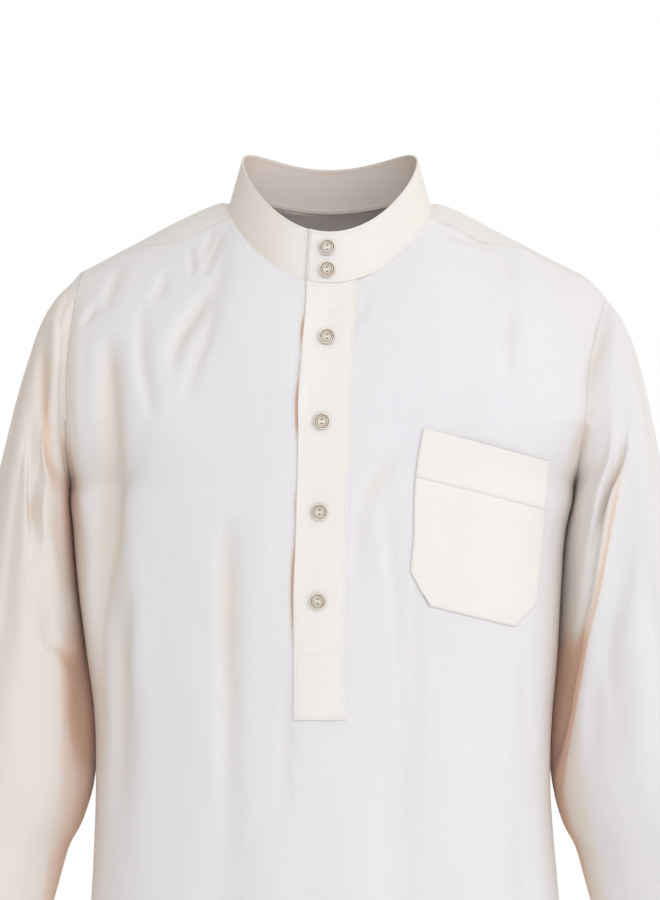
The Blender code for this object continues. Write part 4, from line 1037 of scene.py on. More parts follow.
def wall(name, panel, material, thickness, missing=(), values=None, round_by=ROUND_EDGE, tuck=0.0):
    """A thin cloth shell under a panel's outer face, with rounded edges. Missing holds cells left out, and
    tuck carries the first edge past the seam."""
    grid, normals, closed = panel
    count = grid.shape[0] * grid.shape[1]
    face, rear, outward = grid.copy(), grid - normals * thickness, np.zeros_like(grid)
    every = slice(None)
    edges = [((0, every), (1, every)), ((-1, every), (-2, every))]
    if not closed:
        edges += [((every, 0), (every, 1)), ((every, -1), (every, -2))]
    for i, (edge, beside) in enumerate(edges):
        into = inwards_from(grid[edge], grid[beside], closed)
        past = tuck if i == 0 else 0.0
        face[edge] += into * round_by
        rear[edge] += into * (round_by - past)
        outward[edge] -= into * (round_by + 0.5 * past)
    middle = face + (rear - face) * EDGE_SHARE + outward
    points = np.concatenate((face.reshape(-1, 3), rear.reshape(-1, 3), middle.reshape(-1, 3)))
    corners = cell_corners(grid, closed)
    uv = np.stack(arc_lengths(grid, closed), axis=-1)
    uv_corners = np.stack((uv[:-1, :-1], uv[:-1, 1:], uv[1:, 1:], uv[1:, :-1]), axis=-2)
    present = np.ones(corners.shape[:2], bool)
    for i, j in missing:
        present[i, j] = False
    sample = grid.reshape(-1, 3)[corners]
    facing = np.cross(sample[..., 2, :] - sample[..., 0, :], sample[..., 3, :] - sample[..., 1, :])
    turned = (facing * normals[:-1, :corners.shape[1]]).sum() < 0.0
    quads = [corners[present], corners[present][:, ::-1] + count]
    uvs = [uv_corners[present], uv_corners[present][:, ::-1]]
    around = np.pad(present, 1, mode="constant")
    if closed:
        around[1:-1, 0] = present[:, -1]
        around[1:-1, -1] = present[:, 0]
    neighbours = (around[:-2, 1:-1], around[1:-1, 2:], around[2:, 1:-1], around[1:-1, :-2])
    for side, neighbour in enumerate(neighbours):
        open_side = present & ~neighbour
        p, q = corners[open_side][:, side], corners[open_side][:, (side + 1) % 4]
        uv_p, uv_q = uv_corners[open_side][:, side], uv_corners[open_side][:, (side + 1) % 4]
        quads.append(np.stack((q, p, p + 2 * count, q + 2 * count), axis=1))
        quads.append(np.stack((q + 2 * count, p + 2 * count, p + count, q + count), axis=1))
        uvs += [np.stack((uv_q, uv_p, uv_p, uv_q), axis=1)] * 2
    quads, uvs = np.concatenate(quads), np.concatenate(uvs)
    if turned:
        quads, uvs = quads[:, ::-1], uvs[:, ::-1]
    used = np.unique(quads)
    renumber = np.zeros(3 * count, int)
    renumber[used] = np.arange(len(used))
    values = np.zeros(count) if values is None else values.reshape(-1)
    # Inner faces carry at least this much painted shade
    inside = np.maximum(values, INSIDE_SHADE)
    values = np.concatenate((values, inside, (values + inside) / 2.0))
    return add_piece(name, points[used], renumber[quads], material, uvs, values[used])


def surface_of(grid, closed=False):
    """The grid's outer face as a tree that can be hit by rays."""
    faces = cell_corners(grid, closed).reshape(-1, 4)
    return BVHTree.FromPolygons([Vector(p) for p in grid.reshape(-1, 3)], faces.tolist())


def hit_from_front(surface, x, z):
    """Where a line straight into the robe's front meets a surface, and the normal there, facing out."""
    place, normal, _, _ = surface.ray_cast(Vector((x, -1.0, z)), Vector((0.0, 1.0, 0.0)))
    if normal.y > 0.0:
        normal = -normal
    return np.array(place), np.array(normal)


def resampled(line, normals, step):
    """Points, normals and directions about every step along a line."""
    run = run_along(line)
    count = max(int(round(run[-1] / step)), 1)
    at = (np.arange(count) + 0.5) * run[-1] / count

    def values_at(values, places):
        return np.stack([np.interp(places, run, values[:, a]) for a in range(3)], axis=1)

    directions = values_at(line, at + step / 4) - values_at(line, at - step / 4)
    return values_at(line, at), unit(values_at(normals, at)), unit(directions)


def ring_points(centre, side, up, radius, count):
    """Points evenly round a circle, from its side direction towards its up direction."""
    angles = [2.0 * math.pi * i / count for i in range(count)]
    return [centre + (side * math.cos(a) + up * math.sin(a)) * radius for a in angles]


def ring_faces(counts, turned=False):
    """Faces between rings that follow one another, with this many points each. A ring of one point is a tip.
    Turned gives each face the other way round."""
    sides, faces = max(counts), []
    for r in range(len(counts) - 1):
        a, b = sum(counts[:r]), sum(counts[:r + 1])
        for i in range(sides):
            k = (i + 1) % sides
            if counts[r] == 1:
                face = (a, b + k, b + i)
            elif counts[r + 1] == 1:
                face = (a + i, a + k, b)
            else:
                face = (a + i, a + k, b + k, b + i)
            faces.append((face[0], *face[:0:-1]) if turned else face)
    return faces


def moved_faces(faces, by):
    return [tuple(corner + by for corner in face) for face in faces]


def add_stitches(name, lines, material):
    """One joined mesh of small stitches along lines, each line a pair of points and normals."""
    counts = [STITCH_SIDES if ring.radius else 1 for ring in STITCH_PROFILE]
    stitch = ring_faces(counts, turned=True)
    points, faces = [], []
    for line, normals in lines:
        for place, out, along in zip(*resampled(line, normals, STITCH_PITCH)):
            faces += moved_faces(stitch, len(points))
            side = unit(np.cross(along, out))
            for ring, count in zip(STITCH_PROFILE, counts):
                centre = place + along * ring.share * STITCH_LENGTH + out * STITCH_RADIUS * ring.lift
                points += ring_points(centre, side, out, STITCH_RADIUS * ring.radius, count)
    return add_piece(name, points, faces, material)


def inset_line(panel, side, distance):
    """A line just over a panel's face, at a distance from its top, low, first or last edge, with normals."""
    grid, normals, _ = panel
    if side in ("first", "last"):
        grid, normals = grid.transpose(1, 0, 2), normals.transpose(1, 0, 2)
    if side in ("low", "last"):
        grid, normals = grid[::-1], normals[::-1]
    steps = np.linalg.norm(np.diff(grid, axis=0), axis=2)
    run = np.concatenate((np.zeros((1, grid.shape[1])), np.cumsum(steps, axis=0)))
    line, outs = [], []
    for j in range(grid.shape[1]):
        i = min(int(np.searchsorted(run[:, j], distance)), len(run) - 1)
        t = (distance - run[i - 1, j]) / (run[i, j] - run[i - 1, j])
        line.append(grid[i - 1, j] * (1 - t) + grid[i, j] * t)
        outs.append(normals[i - 1, j] * (1 - t) + normals[i, j] * t)
    outs = unit(np.array(outs))
    return np.array(line) + outs * STITCH_LIFT, outs


def fill(tree, socket, value):
    """Sets a node's input to a value or a colour, or links it to another node's output."""
    if isinstance(value, bpy.types.NodeSocket):
        tree.links.new(value, socket)
    elif socket.type == "RGBA":
        socket.default_value = (*value, 1.0)
    else:
        socket.default_value = value


def add_node(tree, kind, inputs):
    """A node with its inputs filled, by their names or places."""
    node = tree.nodes.new(kind)
    for key, value in inputs.items():
        fill(tree, node.inputs[key], value)
    return node


def math_node(tree, operation, *values):
    node = add_node(tree, "ShaderNodeMath", dict(enumerate(values)))
    node.operation = operation
    return node.outputs[0]


def clamped(tree, value):
    """A value kept between 0 and 1."""
    return math_node(tree, "MINIMUM", math_node(tree, "MAXIMUM", value, 0.0), 1.0)


def mix_colour(tree, share, a, b):
    node = tree.nodes.new("ShaderNodeMix")
    node.data_type = "RGBA"
    for place, value in ((0, share), (6, a), (7, b)):
        fill(tree, node.inputs[place], value)
    return node.outputs[2]


def noise(tree, place, scale, detail=2.0, roughness=0.5, distortion=0.0):
    """Noise over a place, with a scale for each direction."""
    stretched = add_node(tree, "ShaderNodeMapping", {"Vector": place, "Scale": scale}).outputs[0]
    return add_node(tree, "ShaderNodeTexNoise", {
        "Vector": stretched, "Scale": 1.0, "Detail": detail, "Roughness": roughness, "Distortion": distortion,
    }).outputs["Fac"]


def object_place(tree):
    return tree.nodes.new("ShaderNodeTexCoord").outputs["Object"]


def painted_shade_value(tree):
    """The number that each point of a piece carries: how much painted shade its cloth or button face has."""
    node = tree.nodes.new("ShaderNodeAttribute")
    node.attribute_name = "fold"
    return node.outputs["Fac"]


def add_bump(tree, shader, height, strength, distance):
    bump = add_node(tree, "ShaderNodeBump", {"Strength": strength, "Distance": distance, "Height": height})
    fill(tree, shader.inputs["Normal"], bump.outputs[0])


def make_material(name, colour, roughness, **inputs):
    """A material of one colour, with more of its shader's inputs, which have _ for each space in a name."""
    material = bpy.data.materials.new(name)
    material.use_nodes = True
    tree = material.node_tree
    shader = tree.nodes["Principled BSDF"]
    for key, value in dict(Base_Color=colour, Roughness=roughness, **inputs).items():
        fill(tree, shader.inputs[key.replace("_", " ")], value)
    return material, tree, shader


def cloth_material(name, colour, roughness):
    """Fine plain weave: crossing threads, slubs and faint clouds of tone, with the painted shade each point
    carries.
    """
    material, tree, shader = make_material(
        name, colour, roughness, Sheen_Weight=0.22, Sheen_Roughness=0.45, Specular_IOR_Level=0.32
    )

    def node(operation, *values):
        return math_node(tree, operation, *values)

    uv = tree.nodes.new("ShaderNodeUVMap")
    uv.uv_map = "cloth"
    place = uv.outputs[0]
    directions = add_node(tree, "ShaderNodeSeparateXYZ", {0: place}).outputs[:2]
    warp, weft = (node("SINE", node("MULTIPLY", d, THREADS_PER_METRE * 2 * math.pi)) for d in directions)
    weave = node("MULTIPLY", warp, weft)
    slubs = node("ADD", noise(tree, place, SLUBS_DOWN), noise(tree, place, SLUBS_ACROSS))
    clouds = noise(tree, place, CLOUDS, detail=3.0)
    ripples = noise(tree, place, RIPPLES, detail=3.0, roughness=0.45)
    tone = node("ADD", node("MULTIPLY", slubs, SLUB_TONE), node("MULTIPLY", clouds, CLOUD_TONE))
    base = mix_colour(tree, tone, colour, tuple(np.multiply(colour, TONE_COLOUR)))
    # Painted shade: up to one it turns the colour warmer and darker, past one towards deep brown shade
    warmth = painted_shade_value(tree)
    shaded = mix_colour(tree, clamped(tree, warmth), base, CLOTH_SHADE)
    toned = mix_colour(tree, clamped(tree, node("SUBTRACT", warmth, 1.0)), shaded, CLOTH_DEEP_SHADE)
    fill(tree, shader.inputs["Base Color"], toned)
    rough = node("ADD", node("MULTIPLY", slubs, SLUB_ROUGHNESS), roughness - SLUB_ROUGHNESS)
    fill(tree, shader.inputs["Roughness"], rough)
    uneven = node("ADD", node("MULTIPLY", slubs, SLUB_HEIGHT), node("MULTIPLY", ripples, RIPPLE_HEIGHT))
    height = node("ADD", node("MULTIPLY", weave, WEAVE_HEIGHT), uneven)
    add_bump(tree, shader, height, strength=0.8, distance=1.0)
    return material


def thread_material(name):
    """Twisted thread with faint streaks of tone and a fine bump."""
    material, tree, shader = make_material(name, THREAD, THREAD_ROUGHNESS, Sheen_Weight=0.2)
    streaks = noise(tree, object_place(tree), THREAD_SCALE)
    toned = mix_colour(tree, streaks, THREAD, tuple(np.multiply(THREAD, THREAD_STREAK)))
    fill(tree, shader.inputs["Base Color"], toned)
    add_bump(tree, shader, streaks, strength=0.5, distance=0.1 * MM)
    return material


def pearl_material(name):
    """Pearly moulded shell, beige and cream clouds under a polished coat, with painted shade in the grooves.
    """
    material, tree, shader = make_material(
        name, PEARL, PEARL_ROUGHNESS, Coat_Weight=0.5, Coat_Roughness=0.08, Subsurface_Weight=0.15,
        Subsurface_Radius=(0.004, 0.003, 0.002),
    )
    clouds = noise(tree, object_place(tree), PEARL_SCALE, detail=3.0, distortion=0.8)
    tones = add_node(tree, "ShaderNodeValToRGB", {0: clouds})
    for element, place, colour in zip(tones.color_ramp.elements, PEARL_CLOUDS, (PEARL, PEARL_LIGHT)):
        element.position = place
        element.color = (*colour, 1.0)
    toned = mix_colour(tree, painted_shade_value(tree), tones.outputs[0], PEARL_GROOVE_SHADE)
    fill(tree, shader.inputs["Base Color"], toned)
    return material


def hole_shade_material(name):
    """Painted shade for the inside of a button's holes."""
    material, tree, shader = make_material(name, HOLE_SHADE, HOLE_ROUGHNESS)
    clouds = noise(tree, object_place(tree), HOLE_SCALE)
    toned = mix_colour(tree, clouds, HOLE_SHADE, tuple(np.multiply(HOLE_SHADE, HOLE_LIGHT)))
    fill(tree, shader.inputs["Base Color"], toned)
    return material


cloths = {
    "cloth": cloth_material("cloth", CLOTH, CLOTH_ROUGHNESS),
    "trim_cloth": cloth_material("trim_cloth", TRIM, TRIM_ROUGHNESS),
}
thread = thread_material("thread")
pearl = pearl_material("pearl")
hole = hole_shade_material("button_hole_shade")

# Grids of the large pieces
front_cols = front_columns()
front = body_grid(front_cols, True, LOWER_ROWS)
back = body_grid(back_columns(), False, LOWER_ROWS)
for _ in range(CORNER_PASSES):
    for corner in (SEAM_STEPS, back.shape[1] - 1 - SEAM_STEPS):
        soften(back[1:CORNER_ROWS, corner - CORNER_COLS - 1:corner + CORNER_COLS + 2], 1)
panels = {"front": panel_of(front, False), "back": panel_of(back, False)}
for name, col, rows in (("sleeve_right", 0, SLEEVE_RIGHT), ("sleeve_left", -1, SLEEVE_LEFT)):
    ring = np.concatenate((front[:ARMPIT_ROW + 1, col], back[1:ARMPIT_ROW, col][::-1]))
    panels[name] = panel_of(sleeve_grid(ring, rows), True)
share_seams(panels)
for name in SLEEVES:
    keep_seam(panels[name].normals)

# The same with their small creases
finished, depths = {}, {}
for name, (grid, normals, closed) in panels.items():
    depths[name] = relief(grid, normals)
    creased = grid + normals * depths[name][..., None]
    if closed:
        keep_seam(creased)
    finished[name] = panel_of(creased, closed)
share_seams(finished)


def distances_across(grid, weight, surfaces, direction):
    """How far a line along x runs from each point of a grid that has a weight to the nearest surface."""
    made = np.full(weight.shape, SIDE_REACH)
    across = Vector((direction, 0.0, 0.0))
    for i, j in zip(*np.nonzero(weight > 0.0)):
        hits = [surface.ray_cast(Vector(grid[i, j]), across, SIDE_REACH)[3] for surface in surfaces]
        made[i, j] = min((hit for hit in hits if hit is not None), default=SIDE_REACH)
    return made


def rest_on_body(sleeve, side, body):
    """A sleeve with its inner side moved forwards, and then in until it almost touches the body."""
    grid, normals = sleeve.grid.copy(), sleeve.normals
    low, low_full, high_full, high = SIDE_HEIGHTS
    lowest = grid[:, [int(np.argmin(grid[0, :, 2]))], 2]
    window = ramp(lowest, low, low_full) * ramp(lowest, high, high_full)
    inwards = -normals[..., 0] * side
    forward = window * ramp(lowest, *FORWARD_HEIGHTS) * ramp(inwards, *FORWARD_INWARDS)
    forward = forward * ramp(normals[..., 1], *FORWARD_BACKWARDS)
    for _ in range(SIDE_PASSES):
        soften(forward, 0)
        soften(forward, 1, closed=True)
    grid[..., 1] -= FORWARD * forward
    weight = ramp(inwards, *SIDE_INWARDS) * window * ramp(grid[..., 2], *SIDE_FADE)
    away = distances_across(grid, weight, body, -side)
    nearest = np.where(weight > SIDE_FIRM, away, SIDE_REACH).min(axis=1)
    nearest = np.where(nearest < SIDE_REACH, np.clip(nearest - SIDE_CLEAR, 0.0, SIDE_PUSH), 0.0)
    push = nearest[:, None] * weight
    for _ in range(SIDE_PASSES):
        soften(push, 0)
        soften(push, 1, closed=True)
    grid[..., 0] -= side * np.minimum(push, np.maximum(away - SIDE_CLEAR, 0.0))
    return panel_of(grid, True)


body_surfaces = [surface_of(finished[name].grid) for name in ("front", "back")]
for name, side in SLEEVES.items():
    finished[name] = rest_on_body(finished[name], side, body_surfaces)
share_seams(finished)
for name in SLEEVES:
    keep_seam(finished[name].grid)
    keep_seam(finished[name].normals)
surfaces = [surface_of(panel.grid, panel.closed) for panel in finished.values()]


def sphere_points(count):
    """Directions spread evenly over a sphere."""
    at = np.arange(count) + 0.5
    polar, around = np.arccos(1.0 - 2.0 * at / count), math.pi * (1.0 + math.sqrt(5.0)) * at
    return np.stack((np.cos(around) * np.sin(polar), np.sin(around) * np.sin(polar), np.cos(polar)), axis=1)


def hidden_share(grid, normals):
    """How much of what each point faces is other cloth close by, from 0 to 1."""
    spread = sphere_points(HIDDEN_RAYS) * HIDDEN_SPREAD
    rows, cols = (np.unique(np.append(np.arange(0, n, HIDDEN_STEP), n - 1)) for n in grid.shape[:2])
    share = np.zeros((len(rows), len(cols)))
    for a, i in enumerate(rows):
        for b, j in enumerate(cols):
            start = Vector(grid[i, j] + normals[i, j] * HIDDEN_OFF)
            for ray in spread + normals[i, j]:
                towards = Vector(ray)
                if any(surface.ray_cast(start, towards, HIDDEN_REACH)[3] is not None for surface in surfaces):
                    share[a, b] += 1.0 / HIDDEN_RAYS
    across = np.stack([np.interp(np.arange(grid.shape[1]), cols, row) for row in share])
    full = np.stack([np.interp(np.arange(len(grid)), rows, column) for column in across.T], axis=1)
    for _ in range(HIDDEN_PASSES):
        soften(full, 0)
        soften(full, 1)
    return full


def edge_lift_at(z):
    """How far the placket's free edge stands off the front at these heights."""
    return sum(row.lift * np.exp(-(((z - row.z) / row.half_height) ** 2)) for row in EDGE_LIFTS)


slit_cols = [i for i, c in enumerate(front_cols) if c.offset is not None and abs(c.offset) <= SLIT_HALF_WIDTH]
slit_rows = UPPER_STEPS + 1 + int(np.argmin(abs(LOWER - SLIT_END_Z)))
slit_cells = [(i, slit_cols[0]) for i in range(slit_rows)]
placket_at = [i for i, c in enumerate(front_cols) if c.offset is not None]


def painted_shade_of(name, panel):
    """Painted shade at each point of a large piece, and the warmer tone of the back's top."""
    x, z = panel.grid[..., 0], panel.grid[..., 2]
    warmth = np.clip(-depths[name] / TROUGH_SHADE_DEPTH, 0.0, TROUGH_SHADE_MOST) ** TROUGH_SHADE_POWER * TROUGH_SHADE_SHARE
    for flank in FLANKS:
        warmth += flank.warmth * ramp(flank.side * x, flank.start_x, flank.start_x + FLANK_REACH)
    hidden = hidden_share(panel.grid, panel.normals)
    tint = HIDDEN_SHADE_TINT[name]
    if name in SLEEVES:
        tint = tint * (HIGH_TINT + (1.0 - HIGH_TINT) * ramp(z, *TINT_HEIGHTS))
    for shares in (HIDDEN_SHADE, HIDDEN_DEEP_SHADE):
        warmth += tint * ramp(hidden, *shares)
    for line in SHADE_LINES if name in SLEEVES else ():
        signed, place = line_distances(line.points, x, z)
        width = np.where(signed > 0.0, line.right_width, line.left_width)
        along = ease(place / SHADE_LINE_FADE) * ease((1.0 - place) / SHADE_LINE_FADE)
        faces_front = panel.normals[..., 1] < 0.0
        warmth += line.warmth * along * np.exp(-((signed / width) ** 2)) * faces_front
    if name == "back":
        warmth += YOKE_WARMTH * ramp(z, *YOKE_HEIGHTS)
    if name == "front":
        edge_x = x[:, placket_at[0]][:, None] - GAP_SHADE_OUT
        shade = np.exp(-(((x - edge_x) / GAP_SHADE_WIDTH) ** 2))
        warmth += GAP_SHADE * shade * edge_lift_at(z) / EDGE_LIFT_MOST
    return warmth


pieces = {}


def add_cloth(name, panel, slot, thickness, **more):
    """One piece of cloth, in the place of the node that has its name."""
    pieces[name] = wall(name + "_cloth", panel, cloths[slot], thickness, **more)
    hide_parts(name)


# Each large piece carries its painted shade in its fold attribute
for name, panel in finished.items():
    missing = slit_cells if name == "front" else ()
    add_cloth(name, panel, "cloth", CLOTH_WALL, missing=missing, values=painted_shade_of(name, panel))
front_surface = body_surfaces[0]


def sewn_groove(distance):
    """How far a line of sewing pulls the cloth in, by the distance from the edge."""
    return GROOVE_DEPTH * np.exp(-(((distance - EDGE_STITCH) / GROOVE_WIDTH) ** 2))


# Collar: a ring on the neckline, then cut open in front so that its left end laps over its right one
neck_front = front[0, SEAM_STEPS:-SEAM_STEPS]
neck_back = back[0, SEAM_STEPS:-SEAM_STEPS]
neckline = np.concatenate((neck_front[::-1], neck_back[1:-1]))
frontness = np.clip((NECK_CENTRE_Y - neckline[:, 1]) / NECK_HALF_DEPTH, -1.0, 1.0)
level = np.zeros(len(neckline))
height = COLLAR_HEIGHT_BACK + (COLLAR_HEIGHT_FRONT - COLLAR_HEIGHT_BACK) * (1 + frontness) / 2
inwards_y = frontness * np.where(frontness > 0.0, 1.0, COLLAR_BACK_LEAN)
inwards = np.stack((-neckline[:, 0] / NECK_HALF_WIDTH, inwards_y, level), axis=1)
upwards = np.stack((level, COLLAR_SIDE_SHIFT * (1.0 - abs(frontness)), height), axis=1)
collar_ring = neckline + np.array(COLLAR_RISES)[:, None, None] * (upwards + inwards * COLLAR_LEAN_IN)
count = len(neckline)
first = len(neck_front) - 1 - (placket_at[-1] - SEAM_STEPS)
last = count + len(neck_front) - 1 - (placket_at[0] - SEAM_STEPS)
order = np.arange(first, last + 1)
lap = np.where(order < count, 0.0, COLLAR_LAP_OUT * (1.0 - ramp(neckline[order % count, 0], *COLLAR_LAP_X)))
collar_normals = grid_normals(collar_ring, True)[:, order % count]
rises = np.array(COLLAR_RISES)[:, None] * COLLAR_HEIGHT_FRONT
collar_groove = sewn_groove(rises) + sewn_groove(COLLAR_HEIGHT_FRONT - rises)
collar_grid = collar_ring[:, order % count] + collar_normals * (lap - collar_groove)[..., None]
collar = Panel(collar_grid, collar_normals, False)
# Painted shade on the collar's ends, most on the wearer's right
collar_shade = sum(w * ramp(side * collar_grid[..., 0], *COLLAR_SHADE_X) for side, w in COLLAR_SHADE.items())
add_cloth(
    "collar", collar, "trim_cloth", COLLAR_WALL, values=collar_shade, round_by=COLLAR_ROUND_EDGE,
    tuck=COLLAR_TUCK,
)

# Placket and the button strip under it
half = PLACKET_HALF_WIDTH
middle_steps = np.linspace(STRIP_EDGE_WIDTH - half, half - STRIP_EDGE_WIDTH, STRIP_MIDDLE_STEPS)
offsets = np.concatenate((-half + STRIP_EDGE_STEPS, middle_steps, half - STRIP_EDGE_STEPS[::-1]))
z_rows = levels(CHEST_Z, PLACKET_END_Z, STRIP_ROW)
plain = panel_of(body_grid(placket_columns(offsets), True, [body_row(z) for z in z_rows]), False)
strip = panel_of(plain.grid + plain.normals * relief(plain.grid, plain.normals)[..., None], False)
heights = strip.grid[..., 2]
groove = sewn_groove(offsets + half) * (heights < BOX_TOP_Z) + sewn_groove(half - offsets)
edge_near = np.clip(1.0 - (offsets + half) / EDGE_LIFT_WIDTH, 0.0, 1.0) ** EDGE_LIFT_FALL
off_front = GAP + TRIM_WALL + edge_lift_at(heights) * edge_near - groove
placket = Panel(strip.grid + strip.normals * off_front[..., None], strip.normals, False)
add_cloth("placket", placket, "trim_cloth", TRIM_WALL, round_by=PLACKET_ROUND_EDGE)

under_rows = slice(UNDER_FIRST_ROW, UPPER_STEPS + 1 + int(np.argmin(abs(z_rows - UNDER_END_Z))))
under_normals = strip.normals[under_rows]
under = Panel(strip.grid[under_rows] - under_normals * (CLOTH_WALL + GAP), under_normals, False)
add_cloth("placket_under", under, "trim_cloth", TRIM_WALL, round_by=TRIM_ROUND_EDGE)

# Pocket and its band, laid on the front
edge_share = STRIP_EDGE_STEPS / np.hypot(*POCKET_ACROSS)
across_u = np.concatenate((
    edge_share, np.linspace(*POCKET_MIDDLE, POCKET_MIDDLE_STEPS), 1.0 - edge_share[::-1]
))


def pocket_point(u, v):
    """A point of the pocket's face, at shares of the way across it and down it."""
    clip = max(v - (1.0 - POCKET_CLIP), 0.0)
    u = clip + (1.0 - 2.0 * clip) * u
    bow = -POCKET_SIDE_BOW * math.sin(math.pi * min(v / POCKET_BOW_SHARE, 1.0)) * (1.0 - u)
    x, z = np.array(POCKET_CORNER) + np.array(POCKET_ACROSS) * u + np.array(POCKET_DOWN) * v
    place, normal = hit_from_front(front_surface, x + bow, z)
    turns = POCKET_RIPPLES[0] * u + POCKET_RIPPLES[1] * v
    bulge = POCKET_BULGE * math.cos(math.pi * v / 2.0)
    bulge += POCKET_RIPPLE * math.sin(2.0 * math.pi * turns) * math.sin(math.pi * v)
    return place + normal * (POCKET_EDGE_OFF + bulge * math.sin(math.pi * u) + TRIM_WALL)


pocket_shares = {
    "pocket_band": np.linspace(0.0, POCKET_BAND_SHARE, POCKET_BAND_ROWS),
    "pocket": np.linspace(POCKET_BAND_SHARE, 1.0, POCKET_ROWS),
}
pocket_panels = {}
for name, shares in pocket_shares.items():
    grid = np.array([[pocket_point(u, v) for u in across_u] for v in shares])
    pocket_panels[name] = panel_of(grid, False)
    add_cloth(name, pocket_panels[name], "trim_cloth", TRIM_WALL, round_by=TRIM_ROUND_EDGE)


# Buttons
def placket_middle(z):
    """Where the placket's middle line lies, as seen from the front."""
    if z < CHEST_Z:
        return body_at("centre_x", z)
    top_z = neck_point(0.0)[2]
    share = float(ramp(z, top_z, CHEST_Z))
    return PLACKET_TOP_X + (body_at("centre_x", CHEST_Z) - PLACKET_TOP_X) * share


ButtonSeat = namedtuple("ButtonSeat", "place normal side up")


def button_seat(surface, x, z):
    """Where a button sits on a surface: the middle of its back, its axis, its right and its up."""
    hits = [hit_from_front(surface, x, z)]
    for i in range(SEAT_SIDES):
        angle = 2.0 * math.pi * i / SEAT_SIDES
        for share in SEAT_REACHES:
            reach = share * BUTTON_RADIUS
            hits.append(hit_from_front(surface, x + reach * math.cos(angle), z + reach * math.sin(angle)))
    normal = unit(sum(hit[1] for hit in hits))
    place = hits[0][0]
    place = place + normal * max(float((hit[0] - place) @ normal) for hit in hits)
    side = unit(np.cross((0.0, 0.0, 1.0), normal))
    return ButtonSeat(place, normal, side, np.cross(normal, side))


def add_button(name, seat):
    """One turned button, in the place of the node that has its name."""
    points, painted_shades = [], []
    counts = [BUTTON_SIDES if ring.radius else 1 for ring in BUTTON_PROFILE]
    for ring, count in zip(BUTTON_PROFILE, counts):
        centre = seat.place + seat.normal * (GAP + ring.height * BUTTON_THICKNESS)
        points += ring_points(centre, seat.side, seat.up, ring.radius * BUTTON_RADIUS, count)
        # Painted shade, most in the grooves, less on the rim's side and the back
        painted_shades += [ring.dark] * count
    pieces[name] = add_piece(name + "_shell", points, ring_faces(counts), pearl, values=painted_shades)
    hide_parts(name)


def above_centre(seat, height):
    """A place over the middle of a button's face."""
    return seat.place + seat.normal * (GAP + BUTTON_CENTRE_HEIGHT * BUTTON_THICKNESS + height)


def hole_shade_discs(seat):
    """Discs of painted shade at the ends of a button's two holes, as points and faces."""
    points, faces = [], []
    for sign in (-1.0, 1.0):
        faces += moved_faces(ring_faces([1, HOLE_SIDES], turned=True), len(points))
        middle = above_centre(seat, HOLE_RISE) + seat.up * sign * HOLE_OFFSET * BUTTON_RADIUS
        points += [middle, *ring_points(middle, seat.side, seat.up, HOLE_RADIUS * BUTTON_RADIUS, HOLE_SIDES)]
    return points, faces


def thread_bars(seat):
    """Two strands of thread from hole to hole over a button's middle, as points and faces."""
    points, faces = [], []
    reach = (HOLE_OFFSET + BAR_PAST_HOLE) * BUTTON_RADIUS
    end = tuple(range(BAR_SIDES))
    bar = [*ring_faces([BAR_SIDES] * (BAR_STEPS + 1)), end[::-1], *moved_faces([end], BAR_STEPS * BAR_SIDES)]
    for sign in (-1.0, 1.0):
        faces += moved_faces(bar, len(points))
        for step in range(BAR_STEPS + 1):
            t = 2.0 * step / BAR_STEPS - 1.0
            middle = above_centre(seat, BAR_ARCH * (1.0 - t * t))
            middle = middle + seat.up * t * reach + seat.side * sign * BAR_OFFSET
            points += ring_points(middle, seat.side, seat.normal, BAR_RADIUS, BAR_SIDES)
    return points, faces


def add_joined(name, parts, material):
    """One mesh object from several lists of points and faces."""
    points, faces = [], []
    for part_points, part_faces in parts:
        faces += moved_faces(part_faces, len(points))
        points += part_points
    pieces[name] = add_piece(name, points, faces, material)


collar_surface, placket_surface = surface_of(collar.grid), surface_of(placket.grid)
seats = [button_seat(collar_surface, PLACKET_TOP_X + 2 * BUTTON_OFF_CENTRE, z) for z in COLLAR_BUTTON_Z]
seats += [button_seat(placket_surface, placket_middle(z) + BUTTON_OFF_CENTRE, z) for z in PLACKET_BUTTON_Z]
for number, seat in enumerate(seats, 1):
    add_button(f"button_{number}", seat)
# Discs of painted shade in the buttons' holes
add_joined("button_hole_shades", [hole_shade_discs(seat) for seat in seats], hole)
add_joined("button_threads", [thread_bars(seat) for seat in seats], thread)


def seam_line(panel, side, distance, ends=0):
    """A line of sewing beside one edge, which stops short of its ends by a number of points."""
    line, outs = inset_line(panel, side, distance)
    inner = slice(ends, len(line) - ends)
    return line[inner], outs[inner]


def below(line, z):
    keep = line[0][:, 2] < z
    return line[0][keep], line[1][keep]


def loop(line):
    return tuple(np.concatenate((part, part[:1])) for part in line)


def row_line(panel, z):
    """A line of sewing straight across a strip, at a height."""
    row = int(np.argmin(abs(panel.grid[:, panel.grid.shape[1] // 2, 2] - z)))
    outs = panel.normals[row, STRIP_ENDS:-STRIP_ENDS]
    return panel.grid[row, STRIP_ENDS:-STRIP_ENDS] + outs * STITCH_LIFT, outs


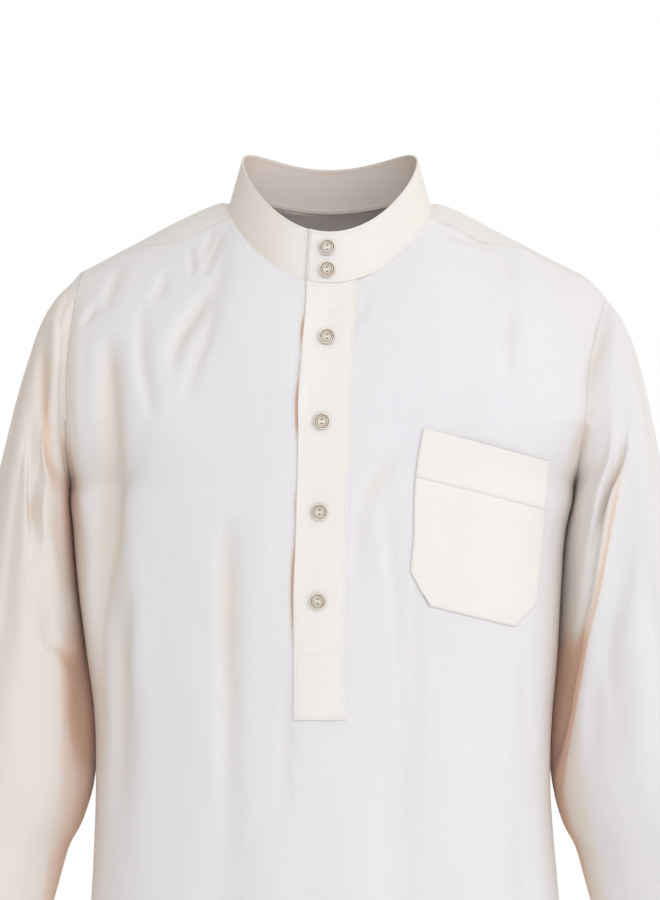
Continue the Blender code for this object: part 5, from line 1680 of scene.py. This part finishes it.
# Sewing
sewing = {
    "placket": [
        seam_line(placket, "last", EDGE_STITCH),
        below(seam_line(placket, "first", EDGE_STITCH), BOX_TOP_Z),
        seam_line(placket, "low", EDGE_STITCH, STRIP_ENDS),
        *(row_line(placket, z) for z in BOX_LINES_Z),
    ],
    "collar": [
        *(seam_line(collar, side, EDGE_STITCH) for side in ("low", "top")),
        *(seam_line(collar, side, EDGE_STITCH, STRIP_ENDS) for side in ("first", "last")),
    ],
    "pocket_band": [
        seam_line(pocket_panels["pocket_band"], side, NARROW_STITCH) for side in ("first", "last", "low")
    ],
    "pocket": [
        *(seam_line(pocket_panels["pocket"], side, NARROW_STITCH) for side in ("first", "last")),
        seam_line(pocket_panels["pocket"], "low", NARROW_STITCH, POCKET_ENDS),
    ],
    "front": [seam_line(finished["front"], "low", HEM_STITCH)],
    "back": [seam_line(finished["back"], "low", HEM_STITCH)],
}
back_top = seam_line(finished["back"], "top", NARROW_STITCH)
for shoulder in (slice(0, SEAM_STEPS), slice(-SEAM_STEPS, None)):
    sewing["back"].append(tuple(part[shoulder] for part in back_top))
for name in SLEEVES:
    sewing[name] = [
        loop(seam_line(finished[name], "top", ARMHOLE_STITCH)),
        loop(seam_line(finished[name], "low", HEM_STITCH)),
    ]
for name, sewn_lines in sewing.items():
    stitches = add_stitches(name + "_stitches", sewn_lines, thread)
    pieces[name + "_stitches"] = stitches

for piece in pieces.values():
    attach(piece, "root")

# Floor
corners = [(x * FLOOR_HALF, y * FLOOR_HALF, HEM_Z) for x, y in ((-1, -1), (1, -1), (1, 1), (-1, 1))]
floor_mesh = bpy.data.meshes.new("floor")
floor_mesh.from_pydata(corners, [], [(0, 1, 2, 3)])
floor_mesh.materials.append(make_material("floor", FLOOR, FLOOR_ROUGHNESS)[0])
add_object("floor", floor_mesh)

# The room
world = bpy.data.worlds.new("studio")
world.use_nodes = True
sky = world.node_tree
towards = sky.nodes.new("ShaderNodeTexCoord").outputs["Generated"]
across, inwards, up = add_node(sky, "ShaderNodeSeparateXYZ", {0: towards}).outputs
past_side = math_node(sky, "SUBTRACT", inwards, BEHIND_START)
behind = clamped(sky, math_node(sky, "MULTIPLY", past_side, BEHIND_GAIN))
sideways, upwards = (
    math_node(sky, "ADD", math_node(sky, "MULTIPLY", direction, 0.5), 0.5) for direction in (across, up)
)
room = mix_colour(sky, sideways, ROOM_RIGHT, ROOM_LEFT)
room = mix_colour(sky, math_node(sky, "MULTIPLY", upwards, ROOM_ABOVE_SHARE), room, ROOM_ABOVE)
fill(sky, sky.nodes["Background"].inputs[0], mix_colour(sky, behind, room, WHITE))
bpy.context.scene.world = world

# Lights and camera
for name, lamp in LAMPS.items():
    light = bpy.data.lights.new(name, "AREA")
    light.shape = "RECTANGLE"
    light.size = light.size_y = lamp.size
    light.energy = lamp.power
    light.color = lamp.colour
    obj = add_object(name, light)
    obj.location = lamp.place
    obj.rotation_euler = (Vector(LAMP_TARGET) - Vector(lamp.place)).to_track_quat("-Z", "Y").to_euler()

camera = bpy.data.cameras.new("camera")
camera.sensor_width = CAMERA_SENSOR
camera.lens = CAMERA_LENS
eye = add_object("camera", camera)
eye.location = CAMERA_PLACE
eye.rotation_euler = (math.pi / 2.0, 0.0, 0.0)
bpy.context.scene.camera = eye

bpy.context.scene.view_settings.view_transform = "Standard"
